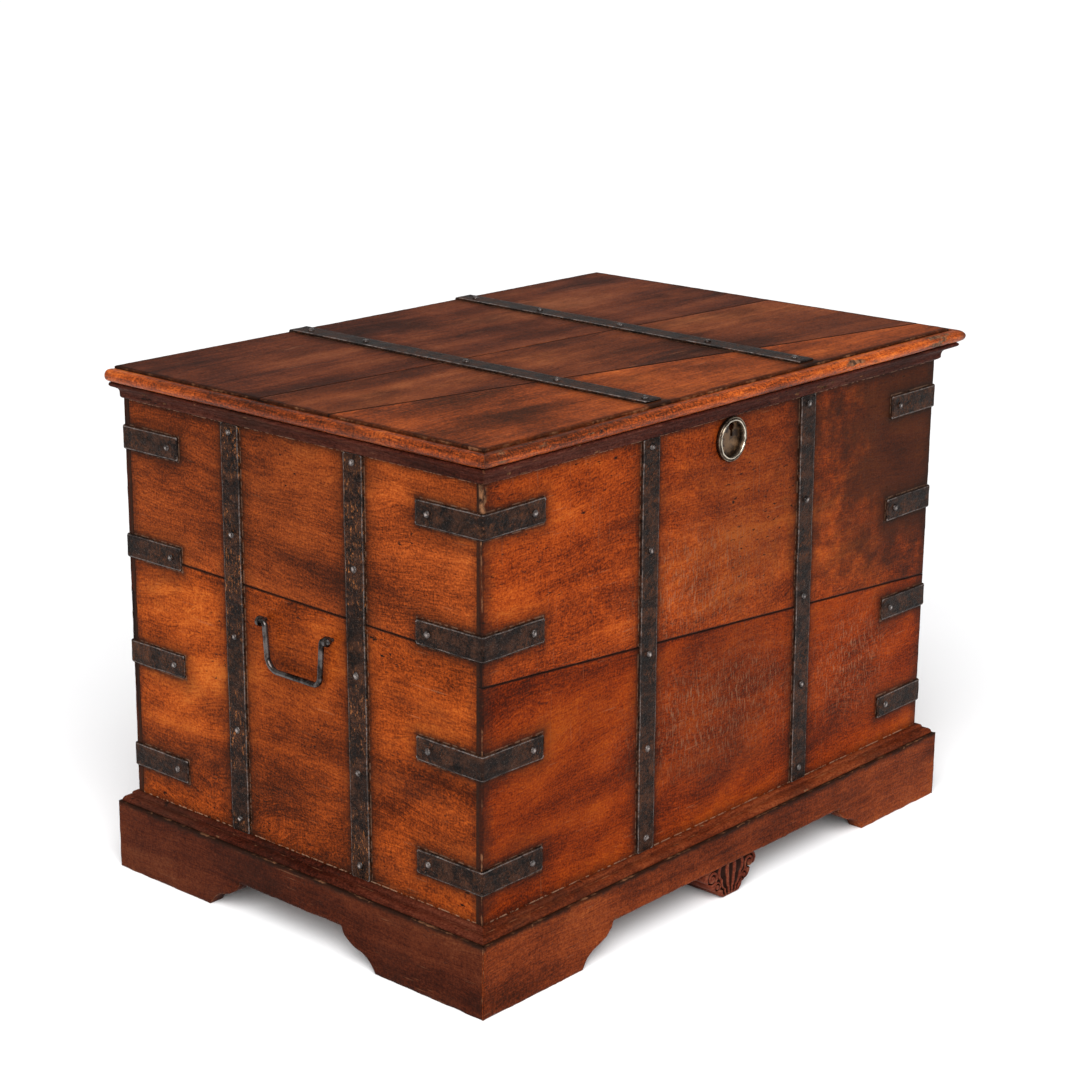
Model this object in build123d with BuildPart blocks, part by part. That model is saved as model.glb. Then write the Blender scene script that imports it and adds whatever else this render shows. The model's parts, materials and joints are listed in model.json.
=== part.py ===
from build123d import *
import os
from math import radians, tan, sin, cos, atan2, degrees, pi

os.makedirs("parts", exist_ok=True)

# ---------------------------------------------------------------------------
# Iron-bound wooden chest.  Millimetres.  +Z up, the front faces -Y, +X is to
# the right of someone standing in front of it.  Origin on the floor, under
# the middle of the chest's overall width and depth.
# ---------------------------------------------------------------------------

# plinth
PLINTH_W = 1000.0        # outside width over the plinth
PLINTH_D = 689.0         # outside depth over the plinth
PLINTH_H = 97.5          # top of the plinth boards
PLINTH_T = 23.0          # front and side plinth boards
PLINTH_T_BACK = 18.5     # back plinth board
APRON_Z = 48.0           # underside of the apron between the bracket feet
SETBACK = 4.0            # the lid stands past the plinth in front only, so the
                         # middle of the plinth is this far behind the origin
PLINTH_X = PLINTH_W / 2
PLINTH_F = SETBACK - PLINTH_D / 2
PLINTH_B = SETBACK + PLINTH_D / 2

# case
CASE_X = PLINTH_X - PLINTH_T
CASE_F = PLINTH_F + PLINTH_T
CASE_B = PLINTH_B - PLINTH_T_BACK
CASE_Z0 = 60.0           # underside of the case boards, on the corner blocks
CASE_Z1 = 693.5          # top edge of the case
BOARD_T = 24.0           # case boards
LAP = 10.0               # what the rebated front and back boards show at the ends
BOTTOM_Z = 78.0          # underside of the bottom boards
BOTTOM_T = 20.0

# lid
LID_Z0 = 694.0
LID_T = 20.0
LID_Z1 = LID_Z0 + LID_T
LID_OVER = 12.8          # lid boards stand past the case, front and sides
LID_X = CASE_X + LID_OVER
LID_F = CASE_F - LID_OVER
LID_B = CASE_B

# iron
STRAP_W = 35.0
STRAP_T = 3.0
STRAP_TOP = 667.6
STRAP_BOTTOM = 111.7
LID_STRAP_F = SETBACK - 322.0                  # front ends of the lid straps
BRACKET_Z = (615.8, 466.0, 316.0, 166.8)
BRACKET_H = 33.5
BRACKET_ARM = 108.0
BEVEL = 1.2
HEAD_R = 5.0
HEAD_H = 2.8
SHANK_R = 1.9
SHANK_CLEAR = 2.0
SHANK_L = 19.0

# hinge line of the lid
HINGE_Y = CASE_B + 8.0
HINGE_Z = LID_Z0
HINGE_PIN_R = 3.0
HINGE_BORE_R = 3.05
HINGE_EYE_R = 6.5
LID_STRAP_X = (-160.0, 179.0)                  # at the back edge
LID_STRAP_X_FRONT = (-166.0, 159.0)            # at the front ends

# bail handles
BAIL_R = 4.0
BAIL_BORE_R = 4.07
BAIL_OFF = 10.5          # pivot axis to the board face
BAIL_Z = 420.5
BAIL_HALF = 52.5         # half the distance between the legs
BAIL_TIP = 68.5
BAIL_EYE = 61.5          # half the distance between the eyes
BAIL_DROP = 62.5
BAIL_MID_Y = SETBACK - 5.0

# lock
LOCK_X = -5.0
LOCK_Z = 637.7
ESC_R = 30.0
KEY_X = 1.0
KEY_Z = 652.5
KEY_SLOT = 13.0          # from the middle of the round down to the slot's end


def solid_label(part, label):
    part.label = label
    export_step(part, "parts/" + label + ".step")
    print(label, len(part.solids()), "solid(s)", round(part.volume), "mm3", "valid", part.is_valid)


# ---------------------------------------------------------------------------
# positions of the nails
# ---------------------------------------------------------------------------

# straps on the front: (x at the top end, x at the bottom end)
FRONT_STRAPS = {"front_strap_left": (-169.8, -165.2), "front_strap_right": (165.0, 175.0)}
SIDE_STRAPS_Y = {"back": (SETBACK + 116.0, SETBACK + 113.0), "front": (SETBACK - 107.5, SETBACK - 113.5)}
NAIL_Z = (657.0, 522.0, 384.0, 255.0, 130.0)


def strap_x(ends, z):
    t = (STRAP_TOP - z) / (STRAP_TOP - STRAP_BOTTOM)
    return ends[0] + (ends[1] - ends[0]) * t


front_strap_nails = [(strap_x(e, z), z) for e in FRONT_STRAPS.values() for z in NAIL_Z]
side_strap_nails = [(strap_x(e, z), z) for e in SIDE_STRAPS_Y.values() for z in NAIL_Z]
back_strap_nails = [(x, z) for x in LID_STRAP_X for z in NAIL_Z]
BRACKET_NAIL = 88.0                            # from the corner to the nail
front_bracket_nails = [(s * (CASE_X - BRACKET_NAIL), z) for s in (-1, 1) for z in BRACKET_Z]
side_bracket_nails = [(y, z) for y in (CASE_F + BRACKET_NAIL, CASE_B - BRACKET_NAIL) for z in BRACKET_Z]
LID_NAIL_Y = (tuple(SETBACK + y for y in (-308.0, -161.0, 0.0, 190.0, 300.0)),
              tuple(SETBACK + y for y in (-301.5, -151.0, 11.0, 168.0, 300.0)))


def lid_strap_x(i, y):
    t = (LID_B - y) / (LID_B - LID_STRAP_F)
    return LID_STRAP_X[i] + (LID_STRAP_X_FRONT[i] - LID_STRAP_X[i]) * t


lid_nails = [(lid_strap_x(i, y), y) for i in (0, 1) for y in LID_NAIL_Y[i]]

# planes that look at a face from outside; local y is up on the four walls
FRONT = Plane(origin=(0, CASE_F, 0), x_dir=(1, 0, 0), z_dir=(0, -1, 0))
BACK = Plane(origin=(0, CASE_B, 0), x_dir=(-1, 0, 0), z_dir=(0, 1, 0))
LEFT = Plane(origin=(-CASE_X, 0, 0), x_dir=(0, -1, 0), z_dir=(-1, 0, 0))
RIGHT = Plane(origin=(CASE_X, 0, 0), x_dir=(0, 1, 0), z_dir=(1, 0, 0))
TOP = Plane.XY.offset(LID_Z1)

NAILS = {
    "front": [(x, z) for x, z in front_strap_nails + front_bracket_nails],
    "back": [(-x, z) for x, z in back_strap_nails + front_bracket_nails],
    "left": [(-y, z) for y, z in side_strap_nails + side_bracket_nails],
    "right": [(y, z) for y, z in side_strap_nails + side_bracket_nails],
    "lid": lid_nails,
}
FACES = {"front": FRONT, "back": BACK, "left": LEFT, "right": RIGHT, "lid": TOP}


def drill(face, points, depth=SHANK_L + 5.5):
    """Clearance holes for nails in whatever stands at that face."""
    with BuildSketch(FACES[face].offset(STRAP_T + 5), mode=Mode.PRIVATE) as holes:
        with Locations(*points):
            Circle(SHANK_CLEAR)
    extrude(holes.sketch, amount=-depth, mode=Mode.SUBTRACT)


# ---------------------------------------------------------------------------
# case boards
# ---------------------------------------------------------------------------

def front_seam(x):
    return 382.4 - 0.0748 * x


def side_seam(y):
    return 455.7 + 0.0193 * (y - SETBACK)


def back_seam(x):
    return 410.0 + 0.02 * x


def wall_across(y0, y1, seam, upper, face, points, rebate_front):
    """A front or back board, full width, rebated at both ends for the sides."""
    z0, z1 = (None, CASE_Z1) if upper else (CASE_Z0, None)
    with BuildPart() as board:
        with BuildSketch(Plane(origin=(0, y1, 0), x_dir=(1, 0, 0), z_dir=(0, -1, 0))):
            with BuildLine():
                if upper:
                    Polyline((-CASE_X, seam(-CASE_X)), (CASE_X, seam(CASE_X)),
                             (CASE_X, CASE_Z1), (-CASE_X, CASE_Z1), close=True)
                else:
                    Polyline((-CASE_X, CASE_Z0), (CASE_X, CASE_Z0),
                             (CASE_X, seam(CASE_X)), (-CASE_X, seam(-CASE_X)), close=True)
            make_face()
        extrude(amount=y1 - y0)
        ymid = y0 + (BOARD_T + LAP) / 2 if rebate_front else y1 - (BOARD_T + LAP) / 2
        with Locations((-CASE_X + BOARD_T / 2, ymid, 380), (CASE_X - BOARD_T / 2, ymid, 380)):
            Box(BOARD_T, BOARD_T - LAP, 800, mode=Mode.SUBTRACT)
        drill(face, points)
    return board


def keep_points(points, seam, upper, sign=1):
    """Nails that go into the upper or the lower of two boards, by the seam."""
    return [p for p in points if (p[1] > seam(sign * p[0])) == upper]


_blank = wall_across(CASE_F, CASE_F + BOARD_T, front_seam, True, "front",
                     keep_points(NAILS["front"], front_seam, True), True)
with BuildPart() as front_board_upper:
    add(_blank.part)
    # seat of the escutcheon collar and the keyhole plate, then the way for the key
    with BuildSketch(FRONT):
        with Locations((LOCK_X, LOCK_Z)):
            Circle(26.6)
    extrude(amount=-4.5, mode=Mode.SUBTRACT)
    with BuildSketch(FRONT):
        with Locations((KEY_X, KEY_Z)):
            Circle(7.0)
        with Locations((KEY_X, KEY_Z - KEY_SLOT / 2 - 0.5)):
            Rectangle(7.0, KEY_SLOT + 1.0)
    extrude(amount=-BOARD_T, mode=Mode.SUBTRACT)
solid_label(front_board_upper.part, "front_board_upper")

front_board_lower = wall_across(CASE_F, CASE_F + BOARD_T, front_seam, False, "front",
                                keep_points(NAILS["front"], front_seam, False), True)
solid_label(front_board_lower.part, "front_board_lower")

back_board_upper = wall_across(CASE_B - BOARD_T, CASE_B, back_seam, True, "back",
                               keep_points(NAILS["back"], back_seam, True, -1), False)
solid_label(back_board_upper.part, "back_board_upper")
back_board_lower = wall_across(CASE_B - BOARD_T, CASE_B, back_seam, False, "back",
                               keep_points(NAILS["back"], back_seam, False, -1), False)
solid_label(back_board_lower.part, "back_board_lower")

SIDE_Y0 = CASE_F + LAP
SIDE_Y1 = CASE_B - LAP


def wall_side(sign, upper):
    face = "left" if sign < 0 else "right"
    x_in = sign * (CASE_X - BOARD_T)
    plane = LEFT if sign < 0 else RIGHT
    s = -1 if sign < 0 else 1                  # local x of the plane is s * y
    pts = [p for p in NAILS[face] if (p[1] > side_seam(s * p[0])) == upper]
    with BuildPart() as board:
        with BuildSketch(plane):
            with BuildLine():
                a, b = s * SIDE_Y0, s * SIDE_Y1
                if upper:
                    Polyline((a, side_seam(SIDE_Y0)), (b, side_seam(SIDE_Y1)),
                             (b, CASE_Z1), (a, CASE_Z1), close=True)
                else:
                    Polyline((a, CASE_Z0), (b, CASE_Z0),
                             (b, side_seam(SIDE_Y1)), (a, side_seam(SIDE_Y0)), close=True)
            make_face()
        extrude(amount=-BOARD_T)
        # the rebate of the front and back boards takes the corners of this one
        drill(face, pts)
        if not upper:
            with BuildSketch(plane):
                with Locations(*[(s * (BAIL_MID_Y + k * BAIL_EYE), BAIL_Z) for k in (-1, 1)]):
                    Circle(2.6)
            extrude(amount=-22.0, mode=Mode.SUBTRACT)
    return board


for _sign, _side in ((-1, "left"), (1, "right")):
    solid_label(wall_side(_sign, True).part, _side + "_board_upper")
    solid_label(wall_side(_sign, False).part, _side + "_board_lower")

# bottom: three boards along the chest on two bearers
IN_X = CASE_X - BOARD_T
IN_F = CASE_F + BOARD_T
IN_B = CASE_B - BOARD_T
_cuts = (IN_F, IN_F + 205.0, IN_F + 398.0, IN_B)
for _i, _name in enumerate(("bottom_board_front", "bottom_board_middle", "bottom_board_back")):
    with BuildPart() as bottom_board:
        with Locations((0, (_cuts[_i] + _cuts[_i + 1]) / 2, BOTTOM_Z + BOTTOM_T / 2)):
            Box(2 * IN_X, _cuts[_i + 1] - _cuts[_i], BOTTOM_T)
    solid_label(bottom_board.part, _name)

with BuildPart() as bottom_bearers:
    with Locations((-290, (IN_F + IN_B) / 2, BOTTOM_Z - 9), (290, (IN_F + IN_B) / 2, BOTTOM_Z - 9)):
        Box(45, IN_B - IN_F, 18)
solid_label(bottom_bearers.part, "bottom_bearers")


# ---------------------------------------------------------------------------
# mouldings: one section run along each side, mitred at the corners
# ---------------------------------------------------------------------------

def cornice_section():
    with BuildLine() as section:
        Polyline((0, 668.0), (0, CASE_Z1), (21.6, CASE_Z1))
        ThreePointArc((21.6, CASE_Z1), (24.8, 690.3), (21.6, 687.1))
        Polyline((21.6, 687.1), (13.6, 686.3), (13.6, 683.6))
        ThreePointArc((13.6, 683.6), (8.7, 680.4), (6.7, 675.3))
        Line((6.7, 675.3), (6.7, 673.6))
        ThreePointArc((6.7, 673.6), (5.9, 670.3), (2.6, 668.6))
        Line((2.6, 668.6), (0, 668.0))
    return section


def lid_edge_section():
    with BuildLine() as section:
        Polyline((0, LID_Z0), (9.2, LID_Z0))
        ThreePointArc((9.2, LID_Z0), (18.2, 702.7), (9.4, 711.3))
        Polyline((9.4, 711.3), (4.2, 711.1), (3.2, 710.2), (0, 710.2), (0, LID_Z0))
    return section


def plinth_cap_section(width):
    """u is measured inwards from the plinth face, as a share of PLINTH_T."""
    k = width / PLINTH_T
    with BuildLine() as section:
        Polyline((-4.6 * k, PLINTH_H), (-4.6 * k, 98.4))
        ThreePointArc((-4.6 * k, 98.4), (-8.1 * k, 103.6), (-13.8 * k, 105.6))
        Polyline((-13.8 * k, 105.6), (-14.2 * k, 104.8), (-15.2 * k, 104.8), (-15.2 * k, 107.4))
        ThreePointArc((-15.2 * k, 107.4), (-16.8 * k, 110.4), (-19.6 * k, 111.6))
        Polyline((-19.6 * k, 111.6), (-width, 111.6), (-width, PLINTH_H), (-4.6 * k, PLINTH_H))
    return section


def strip(section, ref, x0, x1, side, cut0=None, cut1=None):
    """Run a section along one side of the chest.

    ref is where u = 0 stands, x0..x1 the run along the side; cut0 and cut1
    are vertical planes whose far side is taken off.
    """
    if side == "front":
        plane = Plane(origin=(x1, ref, 0), x_dir=(0, -1, 0), z_dir=(-1, 0, 0))
    elif side == "back":
        plane = Plane(origin=(x0, ref, 0), x_dir=(0, 1, 0), z_dir=(1, 0, 0))
    elif side == "left":
        plane = Plane(origin=(ref, x0, 0), x_dir=(-1, 0, 0), z_dir=(0, 1, 0))
    else:
        plane = Plane(origin=(ref, x1, 0), x_dir=(1, 0, 0), z_dir=(0, -1, 0))
    with BuildPart() as run:
        with BuildSketch(plane):
            with BuildLine():
                add(section.line)
            make_face()
        extrude(amount=x1 - x0)
        for cut in (cut0, cut1):
            if cut is not None:
                split(bisect_by=cut, keep=Keep.BOTTOM)
    return run


def corner_cut(outer, inner, away):
    """Vertical plane through two plan points; `away` is on the side removed."""
    dx, dy = inner[0] - outer[0], inner[1] - outer[1]
    n = (dy, -dx, 0)
    if n[0] * (away[0] - outer[0]) + n[1] * (away[1] - outer[1]) < 0:
        n = (-dy, dx, 0)
    return Plane(origin=(outer[0], outer[1], 0), z_dir=n)


for _side in ("front", "left", "right"):
    _fl = ((-CASE_X - 30, CASE_F - 30), (-CASE_X, CASE_F))
    _fr = ((CASE_X + 30, CASE_F - 30), (CASE_X, CASE_F))
    if _side == "front":
        _m = strip(cornice_section(), CASE_F, -CASE_X - 30, CASE_X + 30, "front",
                   corner_cut(*_fl, away=(-CASE_X - 30, CASE_F)), corner_cut(*_fr, away=(CASE_X + 30, CASE_F)))
    elif _side == "left":
        _m = strip(cornice_section(), -CASE_X, CASE_F - 30, CASE_B, "left",
                   corner_cut(*_fl, away=(-CASE_X, CASE_F - 30)))
    else:
        _m = strip(cornice_section(), CASE_X, CASE_F - 30, CASE_B, "right",
                   corner_cut(*_fr, away=(CASE_X, CASE_F - 30)))
    solid_label(_m.part, "cornice_" + _side)

for _side in ("front", "left", "right"):
    _fl = ((-LID_X - 30, LID_F - 30), (-LID_X, LID_F))
    _fr = ((LID_X + 30, LID_F - 30), (LID_X, LID_F))
    if _side == "front":
        _m = strip(lid_edge_section(), LID_F, -LID_X - 30, LID_X + 30, "front",
                   corner_cut(*_fl, away=(-LID_X - 30, LID_F)), corner_cut(*_fr, away=(LID_X + 30, LID_F)))
    elif _side == "left":
        _m = strip(lid_edge_section(), -LID_X, LID_F - 30, LID_B, "left",
                   corner_cut(*_fl, away=(-LID_X, LID_F - 30)))
    else:
        _m = strip(lid_edge_section(), LID_X, LID_F - 30, LID_B, "right",
                   corner_cut(*_fr, away=(LID_X, LID_F - 30)))
    solid_label(_m.part, "lid_moulding_" + _side)

# plinth cap on all four sides
_PX, _PF, _PB = PLINTH_X, PLINTH_F, PLINTH_B
_corner = {
    "fl": ((-_PX, _PF), (-CASE_X, CASE_F)), "fr": ((_PX, _PF), (CASE_X, CASE_F)),
    "bl": ((-_PX, _PB), (-CASE_X, CASE_B)), "br": ((_PX, _PB), (CASE_X, CASE_B)),
}
for _side in ("front", "back", "left", "right"):
    if _side == "front":
        _m = strip(plinth_cap_section(PLINTH_T), _PF, -_PX, _PX, "front",
                   corner_cut(*_corner["fl"], away=(-_PX, 0)), corner_cut(*_corner["fr"], away=(_PX, 0)))
    elif _side == "back":
        _m = strip(plinth_cap_section(PLINTH_T_BACK), _PB, -_PX, _PX, "back",
                   corner_cut(*_corner["bl"], away=(-_PX, 0)), corner_cut(*_corner["br"], away=(_PX, 0)))
    elif _side == "left":
        _m = strip(plinth_cap_section(PLINTH_T), -_PX, _PF, _PB, "left",
                   corner_cut(*_corner["fl"], away=(0, _PF)), corner_cut(*_corner["bl"], away=(0, _PB)))
    else:
        _m = strip(plinth_cap_section(PLINTH_T), _PX, _PF, _PB, "right",
                   corner_cut(*_corner["fr"], away=(0, _PF)), corner_cut(*_corner["br"], away=(0, _PB)))
    solid_label(_m.part, "plinth_cap_" + _side)


# ---------------------------------------------------------------------------
# plinth boards with ogee bracket feet
# ---------------------------------------------------------------------------

# profile of a bracket foot: distance from the corner, height
FOOT = [(187.0, 0.0), (192.5, 8.0), (201.0, 16.5), (212.0, 21.8), (224.0, 25.4),
        (234.0, 30.5), (241.5, 37.0), (245.5, 43.0), (247.5, APRON_Z)]


def plinth_face(half, foot=FOOT, thickness=PLINTH_T):
    """Outline of a plinth board: full rectangle less the space between feet."""
    with BuildLine() as outline:
        Polyline((-half, 0), (-half, PLINTH_H), (half, PLINTH_H), (half, 0), (half - foot[0][0], 0))
        right = [(half - s, z) for s, z in foot]
        left = [(-half + s, z) for s, z in foot]
        Spline(*right[:-1])
        Polyline(right[-2], right[-1], left[-1], left[-2])
        Spline(*reversed(left[:-1]))
        Line(left[0], (-half, 0))
    return outline


with BuildPart() as plinth_front:
    with BuildSketch(Plane(origin=(0, _PF + PLINTH_T, 0), x_dir=(1, 0, 0), z_dir=(0, -1, 0))):
        with BuildLine():
            add(plinth_face(_PX).line)
        make_face()
    extrude(amount=PLINTH_T)
    split(bisect_by=corner_cut(*_corner["fl"], away=(-_PX, 0)), keep=Keep.BOTTOM)
    split(bisect_by=corner_cut(*_corner["fr"], away=(_PX, 0)), keep=Keep.BOTTOM)
solid_label(plinth_front.part, "plinth_front")

# the back board stands between the side boards, so its feet are shorter by them
with BuildPart() as plinth_back:
    with BuildSketch(Plane(origin=(0, CASE_B, 0), x_dir=(-1, 0, 0), z_dir=(0, 1, 0))):
        with BuildLine():
            add(plinth_face(CASE_X, [(s - PLINTH_T, z) for s, z in FOOT]).line)
        make_face()
    extrude(amount=PLINTH_T_BACK)
solid_label(plinth_back.part, "plinth_back")

for _sign, _side in ((-1, "left"), (1, "right")):
    with BuildPart() as plinth_side:
        with BuildSketch(Plane(origin=(_sign * CASE_X, SETBACK, 0), x_dir=(0, _sign, 0), z_dir=(_sign, 0, 0))):
            with BuildLine():
                add(plinth_face(PLINTH_D / 2).line)
            make_face()
        extrude(amount=PLINTH_T)
        split(bisect_by=corner_cut(*_corner["fl" if _sign < 0 else "fr"], away=(0, _PF)), keep=Keep.BOTTOM)
    solid_label(plinth_side.part, "plinth_" + _side)

# corner blocks behind the bracket feet carry the case
BLOCK = 62.0
with BuildPart() as plinth_corner_blocks:
    for _x in (-1, 1):
        for _y0, _dy in ((CASE_F, 1), (CASE_B, -1)):
            with BuildSketch(Plane.XY):
                with BuildLine():
                    Polyline((_x * CASE_X, _y0), (_x * (CASE_X - BLOCK), _y0),
                             (_x * (CASE_X - BLOCK), _y0 + _dy * 20), (_x * (CASE_X - 20), _y0 + _dy * BLOCK),
                             (_x * CASE_X, _y0 + _dy * BLOCK), close=True)
                make_face()
            extrude(amount=CASE_Z0)
solid_label(plinth_corner_blocks.part, "plinth_corner_blocks")

# carved foot under the middle of the front apron: a scrolled outline with
# hollows sunk in its face
with BuildPart() as centre_foot:
    with BuildSketch(Plane(origin=(0, _PF + 61.5, 0), x_dir=(1, 0, 0), z_dir=(0, -1, 0))):
        with BuildLine():
            Line((-16, 0), (16, 0))
            ThreePointArc((16, 0), (23.5, 3.5), (26, 12))
            ThreePointArc((26, 12), (39, 15.5), (44, 28))
            ThreePointArc((44, 28), (56.5, 33), (51, APRON_Z))
            Line((51, APRON_Z), (-51, APRON_Z))
            ThreePointArc((-51, APRON_Z), (-56.5, 33), (-44, 28))
            ThreePointArc((-44, 28), (-39, 15.5), (-26, 12))
            ThreePointArc((-26, 12), (-23.5, 3.5), (-16, 0))
        make_face()
    extrude(amount=60.0)
    # hollows between the scrolls
    with BuildSketch(Plane(origin=(0, _PF + 1.5, 0), x_dir=(1, 0, 0), z_dir=(0, -1, 0))):
        for _s in (-1, 1):
            with Locations(Location((_s * 31.5, 27, 0), (0, 0, _s * 24))):
                SlotOverall(25, 6.5, rotation=90)
            with Locations(Location((_s * 16.0, 22, 0), (0, 0, _s * 14))):
                SlotOverall(31, 7.0, rotation=90)
        with Locations((0, 20)):
            SlotOverall(25, 5.5, rotation=90)
        with Locations((-48.5, 39.5), (48.5, 39.5)):
            Circle(3.2)
    extrude(amount=-7.0, mode=Mode.SUBTRACT)
    # step behind the apron, up to the edge of the front board
    with Locations((0, (CASE_F + _PF + 61.5) / 2, (APRON_Z - 6.0 + CASE_Z0) / 2)):
        Box(80.0, _PF + 61.5 - CASE_F, CASE_Z0 - APRON_Z + 6.0)
solid_label(centre_foot.part, "centre_foot")


# ---------------------------------------------------------------------------
# lid boards, jointed along slanting seams
# ---------------------------------------------------------------------------

def seam_a(x):
    return SETBACK - 180.4 - 0.2078 * x


def seam_b(x):
    return SETBACK + 14.2 - 0.066 * x


def lid_board(lower, upper, edge_front=False):
    with BuildPart() as board:
        with BuildSketch(Plane.XY.offset(LID_Z0)):
            with BuildLine():
                Polyline((-LID_X, lower(-LID_X)), (LID_X, lower(LID_X)),
                         (LID_X, upper(LID_X)), (-LID_X, upper(-LID_X)), close=True)
            make_face()
        extrude(amount=LID_T)
        pts = [p for p in NAILS["lid"] if lower(p[0]) < p[1] < upper(p[0])]
        drill("lid", pts)
        # the top arris is eased along the outside edges
        rim = board.faces().sort_by(Axis.Z)[-1].edges().filter_by(
            lambda e: abs(abs(e.center().X) - LID_X) < 0.01 or (edge_front and abs(e.center().Y - LID_F) < 0.01))
        fillet(rim, 1.6)
    return board


solid_label(lid_board(lambda x: LID_F, seam_a, True).part, "lid_board_front")
solid_label(lid_board(seam_a, seam_b).part, "lid_board_middle")
solid_label(lid_board(seam_b, lambda x: LID_B).part, "lid_board_back")


# ---------------------------------------------------------------------------
# iron straps, brackets and nails
# ---------------------------------------------------------------------------

def flat_bar(plane, ends, low, high, width=STRAP_W):
    """A bevelled bar on a wall, its two ends at ends[0] (high) and ends[1]."""
    with BuildPart() as bar:
        with BuildSketch(plane):
            with BuildLine():
                Polyline((ends[1] - width / 2, low), (ends[1] + width / 2, low),
                         (ends[0] + width / 2, high), (ends[0] - width / 2, high), close=True)
            make_face()
        extrude(amount=STRAP_T)
        out = plane.z_dir
        chamfer(bar.faces().sort_by(Axis((0, 0, 0), (out.X, out.Y, out.Z)))[-1].edges(), BEVEL)
    return bar


for _name, _ends in FRONT_STRAPS.items():
    _bar = flat_bar(FRONT, _ends, STRAP_BOTTOM, STRAP_TOP)
    with BuildPart() as front_strap:
        add(_bar.part)
        drill("front", [p for p in NAILS["front"] if abs(p[0] - (_ends[0] + _ends[1]) / 2) < 20])
    solid_label(front_strap.part, _name)

for _side in ("left", "right"):
    _s = -1 if _side == "left" else 1
    for _where, _ends in SIDE_STRAPS_Y.items():
        _bar = flat_bar(FACES[_side], (_s * _ends[0], _s * _ends[1]), STRAP_BOTTOM, STRAP_TOP)
        with BuildPart() as side_strap:
            add(_bar.part)
            drill(_side, [p for p in NAILS[_side] if abs(p[0] - _s * (_ends[0] + _ends[1]) / 2) < 20])
        solid_label(side_strap.part, _side + "_strap_" + _where)


EYE_MID = 12.6           # width of the lid strap's eye
EYE_SIDE = 9.6           # width of each of the case strap's two eyes
EYE_SHIFT = 11.7         # middle of an outer eye from the strap's middle


def eye(x0, x1, strap_up):
    """One rolled eye about the hinge line, with the tongue it grows from."""
    with BuildSketch(Plane(origin=(x0, 0, 0), x_dir=(0, 1, 0), z_dir=(1, 0, 0)), mode=Mode.PRIVATE) as rolled:
        with Locations((HINGE_Y, HINGE_Z)):
            Circle(HINGE_EYE_R)
        dz = 10.0 if strap_up else -10.0
        with Locations((CASE_B + STRAP_T / 2, HINGE_Z + dz / 2)):
            Rectangle(STRAP_T, 10.0)
    extrude(rolled.sketch, amount=x1 - x0)


def eye_bore(x):
    with BuildSketch(Plane(origin=(x - 25, 0, 0), x_dir=(0, 1, 0), z_dir=(1, 0, 0)), mode=Mode.PRIVATE) as bore:
        with Locations((HINGE_Y, HINGE_Z)):
            Circle(HINGE_BORE_R)
    extrude(bore.sketch, amount=50, mode=Mode.SUBTRACT)


for _i, _tag in enumerate(("left", "right")):
    _x = LID_STRAP_X[_i]
    _bar = flat_bar(BACK, (-_x, -_x), STRAP_BOTTOM, HINGE_Z - 8.0)
    with BuildPart() as case_hinge_strap:
        add(_bar.part)
        for _k in (-1, 1):
            eye(_x + _k * EYE_SHIFT - EYE_SIDE / 2, _x + _k * EYE_SHIFT + EYE_SIDE / 2, False)
        eye_bore(_x)
        drill("back", [(-_x, z) for z in NAIL_Z])
    solid_label(case_hinge_strap.part, "case_hinge_strap_" + _tag)

    _xf = LID_STRAP_X_FRONT[_i]
    with BuildPart() as lid_hinge_strap:
        with BuildSketch(TOP):
            with BuildLine():
                Polyline((_xf - STRAP_W / 2, LID_STRAP_F), (_xf + STRAP_W / 2, LID_STRAP_F),
                         (_x + STRAP_W / 2, LID_B), (_x - STRAP_W / 2, LID_B), close=True)
            make_face()
        extrude(amount=STRAP_T)
        _face = lid_hinge_strap.faces().sort_by(Axis.Z)[-1]
        chamfer(_face.edges().filter_by(lambda e: abs(e.center().Y - LID_B) > 1.0), BEVEL)
        with BuildSketch(Plane(origin=(0, LID_B, 0), x_dir=(-1, 0, 0), z_dir=(0, 1, 0))):
            with Locations((-_x, (LID_Z1 + STRAP_T + HINGE_Z + 8.0) / 2)):
                Rectangle(STRAP_W, LID_Z1 + STRAP_T - HINGE_Z - 8.0)
        extrude(amount=STRAP_T)
        eye(_x - EYE_MID / 2, _x + EYE_MID / 2, True)
        eye_bore(_x)
        drill("lid", [p for p in NAILS["lid"] if abs(p[0] - _x) < 40])
    solid_label(lid_hinge_strap.part, "lid_hinge_strap_" + _tag)

with BuildPart() as hinge_pins:
    for _x in LID_STRAP_X:
        with BuildSketch(Plane(origin=(_x - 18.5, 0, 0), x_dir=(0, 1, 0), z_dir=(1, 0, 0))):
            with Locations((HINGE_Y, HINGE_Z)):
                Circle(HINGE_PIN_R)
        extrude(amount=37.0)
        for _k in (-1, 1):
            with BuildSketch(Plane(origin=(_x + _k * 18.0 - 1.0, 0, 0), x_dir=(0, 1, 0), z_dir=(1, 0, 0))):
                with Locations((HINGE_Y, HINGE_Z)):
                    Circle(4.4)
            extrude(amount=2.0)
solid_label(hinge_pins.part, "hinge_pins")

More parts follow.
